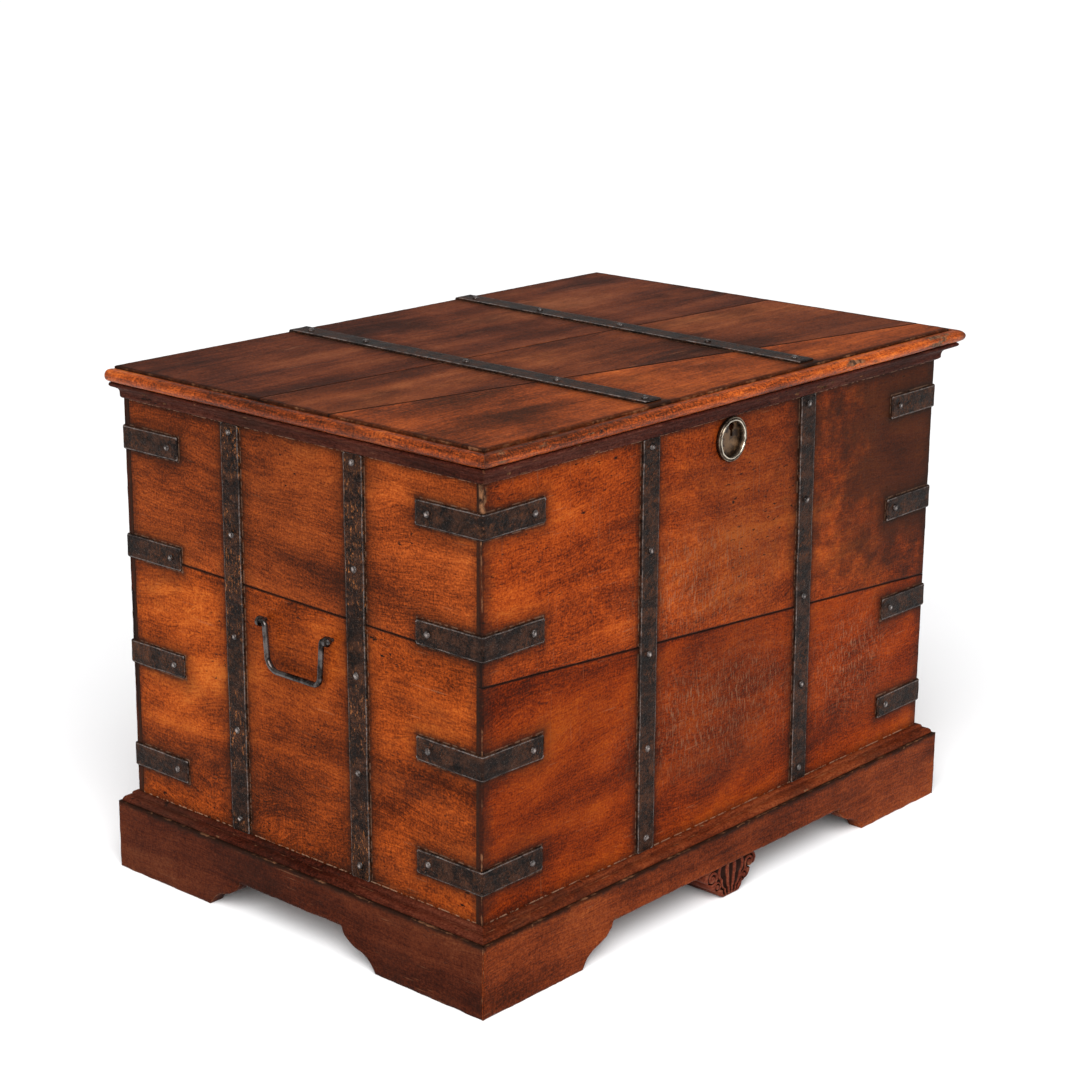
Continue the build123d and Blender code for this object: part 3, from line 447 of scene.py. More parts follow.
def bar_mesh(m, path, normals, wdir, half, thick, bevel=0.0032, seed=0, amp=0.00045, wob=0.0008, ends=True,
             halfs=None):
    """A forged bar: a section swept along path, bevelled and slightly uneven.

    path is the line on the wood, normals the outward direction at each point,
    wdir the direction across.
    """
    path, normals = np.asarray(path, float), np.asarray(normals, float)
    seg = np.linalg.norm(np.diff(path, axis=0), axis=1)
    s = np.concatenate([[0], np.cumsum(seg)])
    wdir = np.asarray(wdir, float)
    nx = max(4, int(round(2 * half / 0.0045)))
    flat = np.linspace(-1, 1, nx + 1)
    # section: (across share, across inset, height share, edge flag)
    sec = [(-1, 0.0, 0.0, 0.0), (-1, 0.0, 0.42, 0.3), (-1, 0.22, 0.68, 0.7), (-1, 0.55, 0.88, 1.0), (-1, 1.0, 1.0, 0.5)]
    sec += [(float(x), 0.0, 1.0, 0.0) for x in flat[1:-1]]
    sec += [(1, 1.0, 1.0, 0.5), (1, 0.55, 0.88, 1.0), (1, 0.22, 0.68, 0.7), (1, 0.0, 0.42, 0.3), (1, 0.0, 0.0, 0.0)]
    sec = np.array(sec)
    nc = len(sec)
    nr = len(path)
    hf = np.full(nr, half) if halfs is None else np.asarray(halfs, float)
    sideno = np.sign(sec[:, 0]) * (np.abs(sec[:, 0]) > 0.999)
    # wobble of the two long edges
    e1 = wob * fbm(np.stack([s * 28, s * 0 + seed, s * 0], -1), seed, 3)
    e2 = wob * fbm(np.stack([s * 28, s * 0 + seed + 9, s * 0], -1), seed + 1, 3)
    shift = np.where(sideno[None, :] < 0, e1[:, None], np.where(sideno[None, :] > 0, e2[:, None], 0))
    inset = np.ones(nr)
    if ends:
        endd = np.minimum(s, s[-1] - s)
        k = np.clip(1 - endd / bevel, 0, 1)
    else:
        k = np.zeros(nr)
    H = thick * sec[None, :, 2] * (1 - 0.30 * k[:, None] * (sec[None, :, 2] > 0.9))
    corner = 0.0022 * np.clip(1 - np.minimum(s, s[-1] - s) / 0.0022, 0, 1) ** 2 if ends else np.zeros(nr)
    W = sec[None, :, 0] * (hf[:, None] - corner[:, None] * (np.abs(sec[None, :, 0]) > 0.999)) \
        - np.sign(sec[None, :, 0]) * bevel * sec[None, :, 1] + shift
    Q = np.stack([s[:, None] + 0 * W, W, 0 * W + seed * 0.37], -1)
    un = amp * (fbm(Q * 38, seed + 11, 3) + 0.6 * fbm(Q * 150, seed + 12, 2)) - amp * 0.6
    H = H + un * (sec[None, :, 2] > 0.9)
    verts = path[:, None, :] + normals[:, None, :] * H[..., None] + wdir[None, None, :] * W[..., None]
    faces = grid_faces(nr, nc)
    for r in range(nr - 1):
        faces.append([r * nc, (r + 1) * nc, (r + 1) * nc + nc - 1, r * nc + nc - 1])
    faces.append(list(range(nc)))
    faces.append([(nr - 1) * nc + i for i in range(nc)][::-1])
    # edge flags on the bevels and ends: the iron material lightens these worn edges as painted highlight
    edge = np.clip(sec[None, :, 3] + k[:, None] * 0.9 * (sec[None, :, 2] > 0.5), 0, 1)
    chk = np.einsum("i,i", np.cross(wdir, path[1] - path[0]), normals[0])
    if chk > 0:
        faces = [f[::-1] for f in faces]
    sm = [True] * ((nr - 1) * (nc - 1)) + [False] * (nr + 1)
    m.add(verts.reshape(-1, 3), faces, sm, edge=edge.ravel())


def line_pts(a, b, step, ends=(0.0006, 0.0014, 0.0028)):
    a, b = np.asarray(a, float), np.asarray(b, float)
    L = np.linalg.norm(b - a)
    t = spaced(0, L, step, ends) / L
    return a + (b - a) * t[:, None]


def dome_mesh(m, centre, normal, r, h, seed, sink=0.0006):
    """A hammered nail head: a low dome with a slightly ragged rim."""
    n = Vector(normal)
    q = n.to_track_quat("Z", "Y").to_matrix()
    Rm = np.array(q)
    nr, na = 7, 20
    v = [[0, 0, h]]
    rg = np.random.RandomState(seed)
    tilt = rg.uniform(-0.10, 0.10, 2)
    sq = 1 + rg.uniform(-0.07, 0.07)
    for i in range(1, nr + 1):
        f = i / nr
        for j in range(na):
            t = 2 * math.pi * j / na
            rr = r * math.sin(f * math.pi / 2) * (1 + 0.05 * math.sin(2 * t + seed) + 0.03 * math.sin(5 * t + 2 * seed) * f)
            z = h * math.cos(f * math.pi / 2) ** 0.75
            x, y = rr * math.cos(t) * sq, rr * math.sin(t) / sq
            facet = 0.10 * h * math.sin(3 * t + seed * 1.7) * math.sin(f * math.pi)
            v.append([x, y, max(z + facet + (tilt[0] * x + tilt[1] * y) * (1 - f), 0.0)])
    for j in range(na):
        x, y, z = v[1 + (nr - 1) * na + j]
        v.append([x, y, -sink])
    v = np.array(v) @ Rm.T + np.asarray(centre)
    f = [[0, 1 + j, 1 + (j + 1) % na] for j in range(na)]
    for i in range(nr):
        a = 1 + i * na
        for j in range(na):
            f.append([a + j, a + na + j, a + na + (j + 1) % na, a + (j + 1) % na])
    f.append([1 + nr * na + j for j in range(na)][::-1])
    # edge flag highest at the crown: the nail material lightens the worn crown as painted highlight
    e = np.concatenate([[1.0], np.repeat(np.linspace(0.95, 0.25, nr), na), np.zeros(na)])
    m.add(v, f, True, edge=e)


def tube_mesh(m, pts, r, na=20, amp=0.00012, seed=0, cap_round=True):
    """A forged round bar along points, its ends rounded."""
    pts = np.asarray(pts, float)
    seg = np.linalg.norm(np.diff(pts, axis=0), axis=1)
    s = np.concatenate([[0], np.cumsum(seg)])
    tan = np.gradient(pts, s, axis=0)
    tan /= np.linalg.norm(tan, axis=1, keepdims=True)
    ref = np.array([1.0, 0.03, 0.02])
    rings, edge = [], []
    for i, (p, t) in enumerate(zip(pts, tan)):
        a = np.cross(t, ref)
        a /= np.linalg.norm(a)
        b = np.cross(t, a)
        ang = np.linspace(0, 2 * math.pi, na, endpoint=False)
        d = min(s[i], s[-1] - s[i])
        k = math.sqrt(max(0.0, 1 - max(0.0, 1 - d / (r * 0.5)) ** 2)) if cap_round else 1.0
        rr = r * (0.35 + 0.65 * k)
        ring = p + rr * (np.cos(ang)[:, None] * a + np.sin(ang)[:, None] * b)
        n = (ring - p) / rr
        w = amp * fbm(ring * 110, seed, 3)[:, None] - amp * 0.6
        rings.append(ring + n * w)
        # edge flag raised near the ends: worn ends, lightened as painted highlight in the iron material
        edge.append(np.full(na, 0.25 + 0.5 * (d < r * 0.6)))
    v = np.vstack(rings)
    f = grid_faces(len(pts), na, wrap=True)
    f.append(list(range(na)))
    f.append([(len(pts) - 1) * na + j for j in range(na)][::-1])
    # orient outwards
    p0, n0 = v[0], v[0] - pts[0]
    fn = np.cross(v[f[0][1]] - v[f[0][0]], v[f[0][3]] - v[f[0][0]])
    if fn @ n0 < 0:
        f = [x[::-1] for x in f]
    m.add(v, f, [True] * (len(f) - 2) + [False] * 2, edge=np.concatenate(edge))


# ---------------------------------------------------------------------------
# node materials
# ---------------------------------------------------------------------------

def lin_rgb(r, g, b):
    def c(x):
        x = x / 255.0
        return x / 12.92 if x <= 0.04045 else ((x + 0.055) / 1.055) ** 2.4
    return (c(r), c(g), c(b), 1.0)


class K:
    """A socket with arithmetic."""

    def __init__(self, tree, sock):
        self.t, self.s = tree, sock

    def _m(self, op, *o):
        return self.t.math(op, self, *o)

    def __add__(self, o):
        return self._m("ADD", o)

    __radd__ = __add__

    def __sub__(self, o):
        return self._m("SUBTRACT", o)

    def __rsub__(self, o):
        return self.t.math("SUBTRACT", o, self)

    def __mul__(self, o):
        return self._m("MULTIPLY", o)

    __rmul__ = __mul__

    def __truediv__(self, o):
        return self._m("DIVIDE", o)

    def abs(self):
        return self._m("ABSOLUTE")

    def min(self, o):
        return self._m("MINIMUM", o)

    def max(self, o):
        return self._m("MAXIMUM", o)

    def pow(self, o):
        return self._m("POWER", o)

    def clamp(self):
        n = self.t.nodes.new("ShaderNodeClamp")
        self.t.put(n.inputs[0], self)
        return K(self.t, n.outputs[0])

    def step(self, a, b, lo=0.0, hi=1.0):
        """Smooth step from a to b, giving lo to hi."""
        n = self.t.nodes.new("ShaderNodeMapRange")
        n.interpolation_type = "SMOOTHSTEP"
        self.t.put(n.inputs[0], self)
        for i, x in zip((1, 2, 3, 4), (a, b, lo, hi)):
            n.inputs[i].default_value = x
        return K(self.t, n.outputs[0])


class Tree:
    def __init__(self, name):
        self.mat = bpy.data.materials.new(name)
        self.mat.use_nodes = True
        self.nt = self.mat.node_tree
        self.nodes, self.links = self.nt.nodes, self.nt.links
        self.nodes.clear()
        self.out = self.nodes.new("ShaderNodeOutputMaterial")
        self.bsdf = self.nodes.new("ShaderNodeBsdfPrincipled")
        self.links.new(self.bsdf.outputs[0], self.out.inputs[0])
        self.tc = self.nodes.new("ShaderNodeTexCoord")
        self.co = K(self, self.tc.outputs["Object"])
        sep = self.nodes.new("ShaderNodeSeparateXYZ")
        self.links.new(self.tc.outputs["Object"], sep.inputs[0])
        self.x, self.y, self.z = (K(self, sep.outputs[i]) for i in range(3))

    def put(self, sock, v):
        if isinstance(v, K):
            self.links.new(v.s, sock)
        else:
            sock.default_value = v

    def math(self, op, a, b=None, c=None):
        n = self.nodes.new("ShaderNodeMath")
        n.operation = op
        for i, v in enumerate((a, b, c)):
            if v is not None:
                self.put(n.inputs[i], v)
        return K(self, n.outputs[0])

    def vec(self, x, y, z):
        n = self.nodes.new("ShaderNodeCombineXYZ")
        for i, v in enumerate((x, y, z)):
            self.put(n.inputs[i], v)
        return K(self, n.outputs[0])

    def mapped(self, scale, loc=(0, 0, 0), rot=(0, 0, 0), src=None):
        n = self.nodes.new("ShaderNodeMapping")
        self.put(n.inputs[0], src or self.co)
        n.inputs[1].default_value = loc
        n.inputs[2].default_value = rot
        n.inputs[3].default_value = scale
        return K(self, n.outputs[0])

    def noise(self, vec, scale=1.0, detail=4.0, rough=0.55, dist=0.0):
        n = self.nodes.new("ShaderNodeTexNoise")
        self.put(n.inputs["Vector"], vec)
        n.inputs["Scale"].default_value = scale
        n.inputs["Detail"].default_value = detail
        n.inputs["Roughness"].default_value = rough
        n.inputs["Distortion"].default_value = dist
        return K(self, n.outputs[0])

    def wave(self, vec, scale=1.0, dist=2.0, detail=3.0, dscale=1.0, direction="Y"):
        n = self.nodes.new("ShaderNodeTexWave")
        n.bands_direction = direction
        self.put(n.inputs["Vector"], vec)
        n.inputs["Scale"].default_value = scale
        n.inputs["Distortion"].default_value = dist
        n.inputs["Detail"].default_value = detail
        n.inputs["Detail Scale"].default_value = dscale
        return K(self, n.outputs[1])

    def voronoi(self, vec, scale=1.0, feature="F1", rand=1.0):
        n = self.nodes.new("ShaderNodeTexVoronoi")
        n.feature = feature
        self.put(n.inputs["Vector"], vec)
        n.inputs["Scale"].default_value = scale
        if "Randomness" in n.inputs:
            n.inputs["Randomness"].default_value = rand
        return K(self, n.outputs[0])

    def attr(self, name):
        n = self.nodes.new("ShaderNodeAttribute")
        n.attribute_name = name
        return K(self, n.outputs["Fac"])

    def mix(self, f, a, b, blend="MIX"):
        n = self.nodes.new("ShaderNodeMix")
        n.data_type = "RGBA"
        n.blend_type = blend
        n.clamp_factor = True
        self.put(n.inputs[0], f)
        self.put(n.inputs[6], a)
        self.put(n.inputs[7], b)
        return K(self, n.outputs[2])

    def ramp(self, f, stops):
        n = self.nodes.new("ShaderNodeValToRGB")
        self.put(n.inputs[0], f)
        el = n.color_ramp.elements
        while len(el) > 1:
            el.remove(el[-1])
        el[0].position, el[0].color = stops[0]
        for p, c in stops[1:]:
            e = el.new(p)
            e.color = c
        return K(self, n.outputs[0])

    def finish(self, color, rough, height=None, bump=0.4, dist=0.001, metal=0.0, spec=0.5, coat=0.0, coat_rough=0.3):
        b = self.bsdf
        self.put(b.inputs["Base Color"], color)
        self.put(b.inputs["Roughness"], rough)
        self.put(b.inputs["Metallic"], metal)
        b.inputs["Specular IOR Level"].default_value = spec
        if coat:
            b.inputs["Coat Weight"].default_value = coat
            b.inputs["Coat Roughness"].default_value = coat_rough
        if height is not None:
            n = self.nodes.new("ShaderNodeBump")
            n.inputs["Strength"].default_value = bump
            n.inputs["Distance"].default_value = dist
            self.put(n.inputs["Height"], height)
            self.links.new(n.outputs[0], b.inputs["Normal"])
        return self.mat


def iron_sdf(t, u, v, straps, arms):
    """Distance from the iron on a wall. straps: (u at v0, u at v1, v0, v1, half); arms: (u0, u1, v mid, half)."""
    d = None
    for (a, b, v0, v1, h) in straps:
        k = (b - a) / (v1 - v0)
        line = v * k + (a - k * v0)
        e = (u - line).abs() - h
        d = e if d is None else d.min(e)
    if arms:
        vz = None
        for z in sorted({round(a[2], 5) for a in arms}):
            e = (v - z).abs()
            vz = e if vz is None else vz.min(e)
        h = arms[0][3]
        us = sorted({(round(a[0], 5), round(a[1], 5)) for a in arms})
        du = None
        for (a, b) in us:
            e = (u - (a + b) / 2).abs() - (b - a) / 2
            du = e if du is None else du.min(e)
        dv = (vz - h).max(0.0)
        du = du.max(0.0)
        e = t.math("SQRT", dv * dv + du * du)
        d = e if d is None else d.min(e)
    return d


def wood(name, grain, across, depth, tone, seed=0.0, figure=1.0, flame=0.0, flame_rot=0.6, dark=0.35, scratch=0.3,
         iron=None, shade_and_dirt_bands=(), rough=0.42, gloss=0.0, tan_mask=None, streak=1.0, sheen=0.025,
         gain=(1.0, 1.0, 1.0), corners=(), fuzz=1.0, outer=None, vscratch=0.0, painted_shade_spots=(), flecks=0.3,
         bump=0.5, edge_tan=0.4, chip_col=None):
    """Old polished hardwood. grain, across, depth are the axis letters of the board."""
    t = Tree(name)
    tone = [(p, tuple(min(q * k, 1.0) for q, k in zip(col[:3], gain)) + (1.0,)) for p, col in tone]
    ax = {"x": t.x, "y": t.y, "z": t.z}
    g, a, d = ax[grain], ax[across], ax[depth]
    base = t.vec(g + seed * 1.37, a + seed * 0.71, d + seed * 0.23)
    # slow wandering of the grain
    warp = t.noise(t.mapped((2.2, 6.0, 3.0), src=base), 1.0, 3.0, 0.5)
    warp2 = t.noise(t.mapped((7.0, 16.0, 8.0), src=base), 1.0, 2.0, 0.5)
    a2 = a + (warp - 0.5) * 0.11 * figure + (warp2 - 0.5) * 0.02
    gv = t.vec(g + seed, a2, d * 0.6 + seed * 0.3)
    broad = t.noise(t.mapped((1.1, 17.0, 9.0), src=gv), 1.0, 4.0, 0.55)
    mid = t.noise(t.mapped((3.2, 95.0, 40.0), src=gv), 1.0, 4.0, 0.6)
    fine = t.noise(t.mapped((9.0, 520.0, 200.0), src=gv), 1.0, 3.0, 0.65)
    patch = t.noise(base, 4.2, 3.0, 0.5)
    patch2 = t.noise(base, 11.0, 4.0, 0.6)
    spk = t.noise(base, 330.0, 4.0, 0.7)
    vf = t.noise(t.mapped((620.0, 55.0, 60.0), src=base), 1.0, 3.0, 0.6)
    f = broad * 0.62 + mid * 0.26 * streak + patch * 0.55 + patch2 * 0.34 + fine * 0.20 * streak
    f = f - (0.62 + 0.26 * streak + 0.55 + 0.34 + 0.20 * streak) / 2 + 0.5
    gf = t.noise(t.mapped((60.0, 640.0, 90.0), src=gv), 1.0, 3.0, 0.65)
    f = f + (spk - 0.5) * 0.46 * fuzz + (vf - 0.5) * 0.13 * fuzz + (gf - 0.5) * 0.26 * fuzz
    if flame:
        fl = t.mapped((1, 1, 1), rot=(0, 0, flame_rot), src=base)
        w1 = t.noise(t.mapped((2.4, 13.0, 1.0), src=fl), 1.0, 3.0, 0.5, 0.6)
        f = f + (w1 - 0.5) * 0.50 * flame
    c = t.ramp(f.clamp(), tone)
    # pores: short dark dashes along the grain
    por = t.noise(t.mapped((55.0, 1500.0, 400.0), src=gv), 1.0, 2.0, 0.5)
    por = por.step(0.60, 0.72)
    c = t.mix(por * (0.42 * streak), c, (0.015, 0.006, 0.004, 1.0))
    # small dark flecks and dents
    fk1 = t.noise(t.mapped((70.0, 190.0, 90.0), src=base), 1.0, 3.0, 0.6)
    area = t.noise(base, 7.0, 2.0, 0.5)
    fleck = fk1.step(0.62, 0.70) * area.step(0.50, 0.66)
    c = t.mix(fleck * flecks * 2.0, c, (0.010, 0.005, 0.004, 1.0))
    # dirt in the low and never-rubbed places
    dirt = t.noise(t.mapped((5.0, 13.0, 7.0), src=base), 1.0, 6.0, 0.68)
    dirtf = dirt.step(0.47, 0.70)
    c = t.mix(dirtf * dark, c, (0.020, 0.009, 0.006, 1.0))
    hgt = mid * 0.25 + fine * 0.35 - por * 0.55 - fleck * 0.6 + patch2 * 0.25
    # scratches across and along
    sc = t.noise(t.mapped((420.0, 9.0, 30.0), src=base), 1.0, 2.0, 0.5, 0.3)
    scm = sc.step(0.66, 0.74) * area.step(0.42, 0.62)
    if vscratch:
        c = t.mix(scm * vscratch, c, (0.30, 0.12, 0.055, 1.0))
        hgt = hgt - scm * 0.4
    s2 = t.noise(t.mapped((16.0, 330.0, 30.0), rot=(0, 0, 0.25), src=base), 1.0, 2.0, 0.5)
    s2 = s2.step(0.67, 0.73) * patch2.step(0.45, 0.60)
    c = t.mix(s2 * scratch, c, (0.33, 0.15, 0.075, 1.0))
    # wear and dirt belong to the outer face only; the inner face is bare, dull wood
    om = 1.0
    if outer is not None:
        om = ((ax[depth] - outer[0]) * outer[1]).step(-0.007, -0.0035)
        c = t.mix((1.0 - om) * 0.62, c, (0.085, 0.043, 0.022, 1.0))
    # ragged pale rubbed patches
    if tan_mask is not None:
        for (u0, v0, ru, rv, amt) in tan_mask:
            e = t.math("SQRT", ((g - u0) / ru).pow(2.0) + ((a - v0) / rv).pow(2.0))
            m = (1.0 - e).step(0.0, 0.8)
            sp = t.noise(t.mapped((420.0, 70.0, 60.0), rot=(0, 0, 0.35), src=base), 1.0, 4.0, 0.72)
            m = m * sp.step(0.50, 0.68)
            c = t.mix(m * amt * om, c, (0.30, 0.145, 0.075, 1.0))
    # painted shade: broad, ragged dark blotches over parts of the outer face
    for (u0, v0, ru, rv, amt) in painted_shade_spots:
        e = t.math("SQRT", ((g - u0) / ru).pow(2.0) + ((a - v0) / rv).pow(2.0))
        nz = t.noise(base, 28.0, 3.0, 0.6)
        m = (1.0 - e + (nz - 0.5) * 0.9).step(0.05, 0.75)
        c = t.mix(m * amt * om, c, (0.012, 0.006, 0.004, 1.0))
    # grime round the iron and a thin dusty line where they meet
    if iron is not None:
        straps, arms = iron
        ds = iron_sdf(t, g, a, straps, arms)
        gn = t.noise(base, 60.0, 4.0, 0.65)
        wide = (0.0 - ds + (gn - 0.5) * 0.020).step(-0.030, 0.0)
        c = t.mix(wide * 0.45 * om, c, (0.016, 0.006, 0.003, 1.0))
        gr = (0.0 - ds + (gn - 0.5) * 0.012).step(-0.009, 0.001)
        c = t.mix(gr * 0.75 * om, c, (0.010, 0.006, 0.004, 1.0))
        dn = t.noise(base, 130.0, 3.0, 0.6)
        ln = (ds - 0.0006).abs()
        ln = (0.0013 - ln).step(0.0, 0.0009) * dn.step(0.42, 0.58)
        c = t.mix(ln * 0.38 * om, c, (0.22, 0.125, 0.08, 1.0))
        hgt = hgt - gr * 0.3
    for (axis, at, sgn, width, amt, line) in shade_and_dirt_bands:
        # painted shade and dirt against a moulding or along the lid's edge: axis value `at`, on the side sgn
        e = (ax[axis] - at) * sgn
        bn = t.noise(base, 45.0, 4.0, 0.65)
        past = e.step(-0.0020, -0.0008)
        m = (width - e + (bn - 0.5) * width * 1.3).step(0.0, width) * past
        c = t.mix(m * amt * om, c, (0.012, 0.006, 0.004, 1.0))
        if line:
            dn2 = t.noise(base, 160.0, 3.0, 0.6)
            m2 = (0.0016 - e).step(0.0, 0.0006) * dn2.step(0.44, 0.56) * past
            c = t.mix(m2 * line * om, c, (0.38, 0.22, 0.14, 1.0))
    for (axis, at) in corners:
        e = (ax[axis] - at).abs()
        kn = t.noise(t.mapped((45.0, 45.0, 22.0), src=base), 1.0, 5.0, 0.68)
        m = (0.030 - e + (kn - 0.5) * 0.050).step(0.0, 0.030)
        c = t.mix(m * 0.66, c, (0.014, 0.006, 0.004, 1.0))
        m = (0.0035 - e + (kn - 0.5) * 0.008).step(0.0, 0.003)
        c = t.mix(m * 0.62, c, (0.008, 0.005, 0.004, 1.0))
    # dirt packed in the joints, and painted shade in the carved grooves of the foot
    sm = t.attr("seam")
    sn = t.noise(base, 75.0, 3.0, 0.6)
    c = t.mix((sm * 1.5 + (sn - 0.5) * 0.5).step(0.15, 0.8) * 0.92, c, (0.009, 0.005, 0.004, 1.0))
    # rubbed arrises
    ed = t.attr("edge")
    en = t.noise(base, 120.0, 3.0, 0.6)
    big = t.noise(base, 26.0, 3.0, 0.6)
    em = (ed * 1.15 - (1.0 - en) * 1.15).step(0.40, 0.72) * big.step(0.44, 0.62)
    c = t.mix(em * edge_tan, c, chip_col or (0.24, 0.105, 0.05, 1.0))
    ch = t.attr("chip")
    cn = t.noise(t.mapped((300.0, 90.0, 90.0), src=base), 1.0, 4.0, 0.65)
    chc = t.mix(cn.step(0.35, 0.65), (0.016, 0.008, 0.006, 1.0), (0.21, 0.095, 0.045, 1.0))
    c = t.mix(ch.step(0.15, 0.6), c, chc)
    r = rough + (dirt - 0.5) * 0.22 + (fine - 0.5) * 0.18 + por * 0.15
    r = (r + ch * 0.3).clamp()
    return t.finish(c, r, hgt, bump, 0.0009, spec=sheen)


def stops(*pairs):
    return [(p, lin_rgb(*c)) for p, c in pairs]


CASE_TONE = stops((0.22, (64, 22, 12)), (0.38, (112, 42, 18)), (0.50, (150, 62, 26)), (0.62, (176, 78, 34)),
                  (0.78, (202, 104, 52)))
SIDE_TONE = stops((0.22, (58, 22, 13)), (0.38, (106, 44, 21)), (0.50, (142, 62, 29)), (0.62, (168, 78, 37)),
                  (0.80, (194, 104, 56)))
LID_TONE = stops((0.22, (40, 20, 15)), (0.38, (74, 36, 26)), (0.50, (104, 52, 36)), (0.62, (128, 68, 46)),
                 (0.80, (158, 96, 70)))
PLINTH_TONE = stops((0.22, (44, 20, 15)), (0.38, (80, 36, 26)), (0.50, (108, 52, 38)), (0.64, (132, 70, 52)),
                    (0.82, (158, 98, 76)))
MOULD_TONE = stops((0.22, (36, 18, 14)), (0.40, (84, 40, 26)), (0.52, (126, 60, 34)), (0.64, (168, 84, 44)),
                   (0.82, (206, 120, 68)))
INSIDE_TONE = stops((0.22, (70, 42, 28)), (0.5, (120, 76, 50)), (0.8, (160, 110, 76)))


def iron_mat(name, edge_wear_and_highlight=1.0, rough=0.42, flecks=0.0, shine=0.0, painted_sheen=0.0, bumpy=1.0, spec=0.09):
    t = Tree(name)
    n1 = t.noise(t.co, 48.0, 6.0, 0.70)
    n2 = t.noise(t.co, 330.0, 5.0, 0.72)
    n3 = t.noise(t.co, 12.0, 3.0, 0.5)
    c = t.mix((n1 * 0.6 + n2 * 0.4).step(0.40, 0.62), (0.0022, 0.0015, 0.0012, 1), (0.044, 0.018, 0.010, 1))
    rust = n2.step(0.52, 0.68) * n3.step(0.40, 0.62)
    c = t.mix(rust * 0.6, c, (0.12, 0.038, 0.014, 1))
    if flecks:
        k = t.noise(t.mapped((420.0, 420.0, 150.0)), 1.0, 4.0, 0.7).step(0.56, 0.66) * n3.step(0.34, 0.60)
        c = t.mix(k * flecks, c, (0.36, 0.125, 0.035, 1))
    pits = t.voronoi(t.co, 420.0)
    pit = (0.30 - pits).step(0.0, 0.18) * n1.step(0.5, 0.66)
    c = t.mix(pit * 0.8, c, (0.003, 0.0025, 0.0025, 1))
    # worn edges, lightened well past bare wear as painted highlight
    ed = t.attr("edge")
    en = t.noise(t.co, 210.0, 5.0, 0.72)
    em = (ed * 1.15 - (1.0 - en) * 1.1).step(0.25, 0.75)
    c = t.mix(em * 0.85, c, (0.155 * edge_wear_and_highlight, 0.132 * edge_wear_and_highlight, 0.122 * edge_wear_and_highlight, 1))
    big = t.noise(t.mapped((26.0, 26.0, 60.0)), 1.0, 4.0, 0.65)
    c = t.mix(big.step(0.46, 0.62) * 0.75, c, (0.0045, 0.0032, 0.0030, 1))
    # painted glints: bright specks standing in for sparkling reflections
    painted_glint = t.noise(t.co, 620.0, 3.0, 0.7).step(0.60, 0.70) * big.step(0.34, 0.52)
    c = t.mix(painted_glint * 0.50, c, (0.17, 0.125, 0.100, 1))
    # painted sheen: pale grey patches standing in for reflections on the round bar and nail heads
    if painted_sheen:
        c = t.mix(n1.step(0.38, 0.60) * painted_sheen, c, (0.20, 0.19, 0.185, 1))
    met = (em * 0.45 + shine).clamp()
    r = (rough + (n1 - 0.5) * 0.4 + rust * 0.25 - em * 0.14).clamp()
    h = n1 * 0.6 + n2 * 0.5 - pit * 0.8
    return t.finish(c, r, h + big * 1.5, bumpy, 0.0016 * bumpy, metal=met, spec=spec)


def brass_mat(name, dark=False):
    t = Tree(name)
    n1 = t.noise(t.co, 90.0, 5.0, 0.62)
    n2 = t.noise(t.co, 420.0, 4.0, 0.6)
    if dark:
        c = t.mix(n1.step(0.38, 0.62), (0.022, 0.011, 0.006, 1), (0.13, 0.072, 0.034, 1))
        r = (0.42 + (n2 - 0.5) * 0.4).clamp()
        return t.finish(c, r, n1 * 0.6 + n2 * 0.4, 0.6, 0.0006, metal=0.55)
    c = t.mix(n1.step(0.38, 0.64), (0.045, 0.030, 0.020, 1), (0.26, 0.20, 0.14, 1))
    ed = t.attr("edge")
    em = (ed * 1.2 - (1.0 - n1) * 0.5).step(0.35, 0.85)
    c = t.mix(em, c, (0.62, 0.56, 0.46, 1))
    c = t.mix((0.35 - ed).step(0.0, 0.30) * 0.85, c, (0.022, 0.013, 0.008, 1))
    r = (0.30 + (n2 - 0.5) * 0.3 - em * 0.08).clamp()
    return t.finish(c, r, n1 * 0.6 + n2 * 0.4, 0.5, 0.0005, metal=0.9)


# ---------------------------------------------------------------------------
# the iron's layout on each wall, from the CAD nodes
# ---------------------------------------------------------------------------

def strap_line(node, ax):
    lo, hi = B(node)
    return lo, hi, ax


def strap_ends(node, axis, w):
    """Middle of a slanting strap at its top and bottom; the top end is at the lower box side for +slant."""
    lo, hi = B(node)
    return lo[axis] + w / 2, hi[axis] - w / 2, lo[2], hi[2]


SW = 0.035
fs = {}
for n in ("front_strap_left", "front_strap_right"):
    top, bot, z0, z1 = strap_ends(n, 0, SW)
    fs[n] = (bot, top, z0, z1)
ss = {}
for n in ("left_strap_back", "left_strap_front", "right_strap_back", "right_strap_front"):
    a, b, z0, z1 = strap_ends(n, 1, SW)
    ss[n] = (a, b, z0, z1)      # bottom, top
hs = {}
for n in ("case_hinge_strap_left", "case_hinge_strap_right"):
    lo, hi = B(n)
    m = (lo[0] + hi[0]) / 2
    hs[n] = (m, m, lo[2], lo[2] + (LZ0 - 0.008 - lo[2]))
ls = {}
for n in ("lid_hinge_strap_left", "lid_hinge_strap_right"):
    lo, hi = B(n)
    ls[n] = (lo[0] + SW / 2, hi[0] - SW / 2, lo[1], LB)     # x at the front, x at the back, y front, y back
brk = {c: sorted(islands("corner_brackets_" + c), key=lambda b: b[0][2]) for c in
       ("front_left", "front_right", "back_left", "back_right")}
ST = brk["front_left"][0][1][0] * 0 + (CF - brk["front_left"][0][0][1])      # iron thickness
BRH = (brk["front_left"][0][1][2] - brk["front_left"][0][0][2]) / 2
bz = [(b[0][2] + b[1][2]) / 2 for b in brk["front_left"]]
ARM = brk["front_left"][0][1][0] + CX


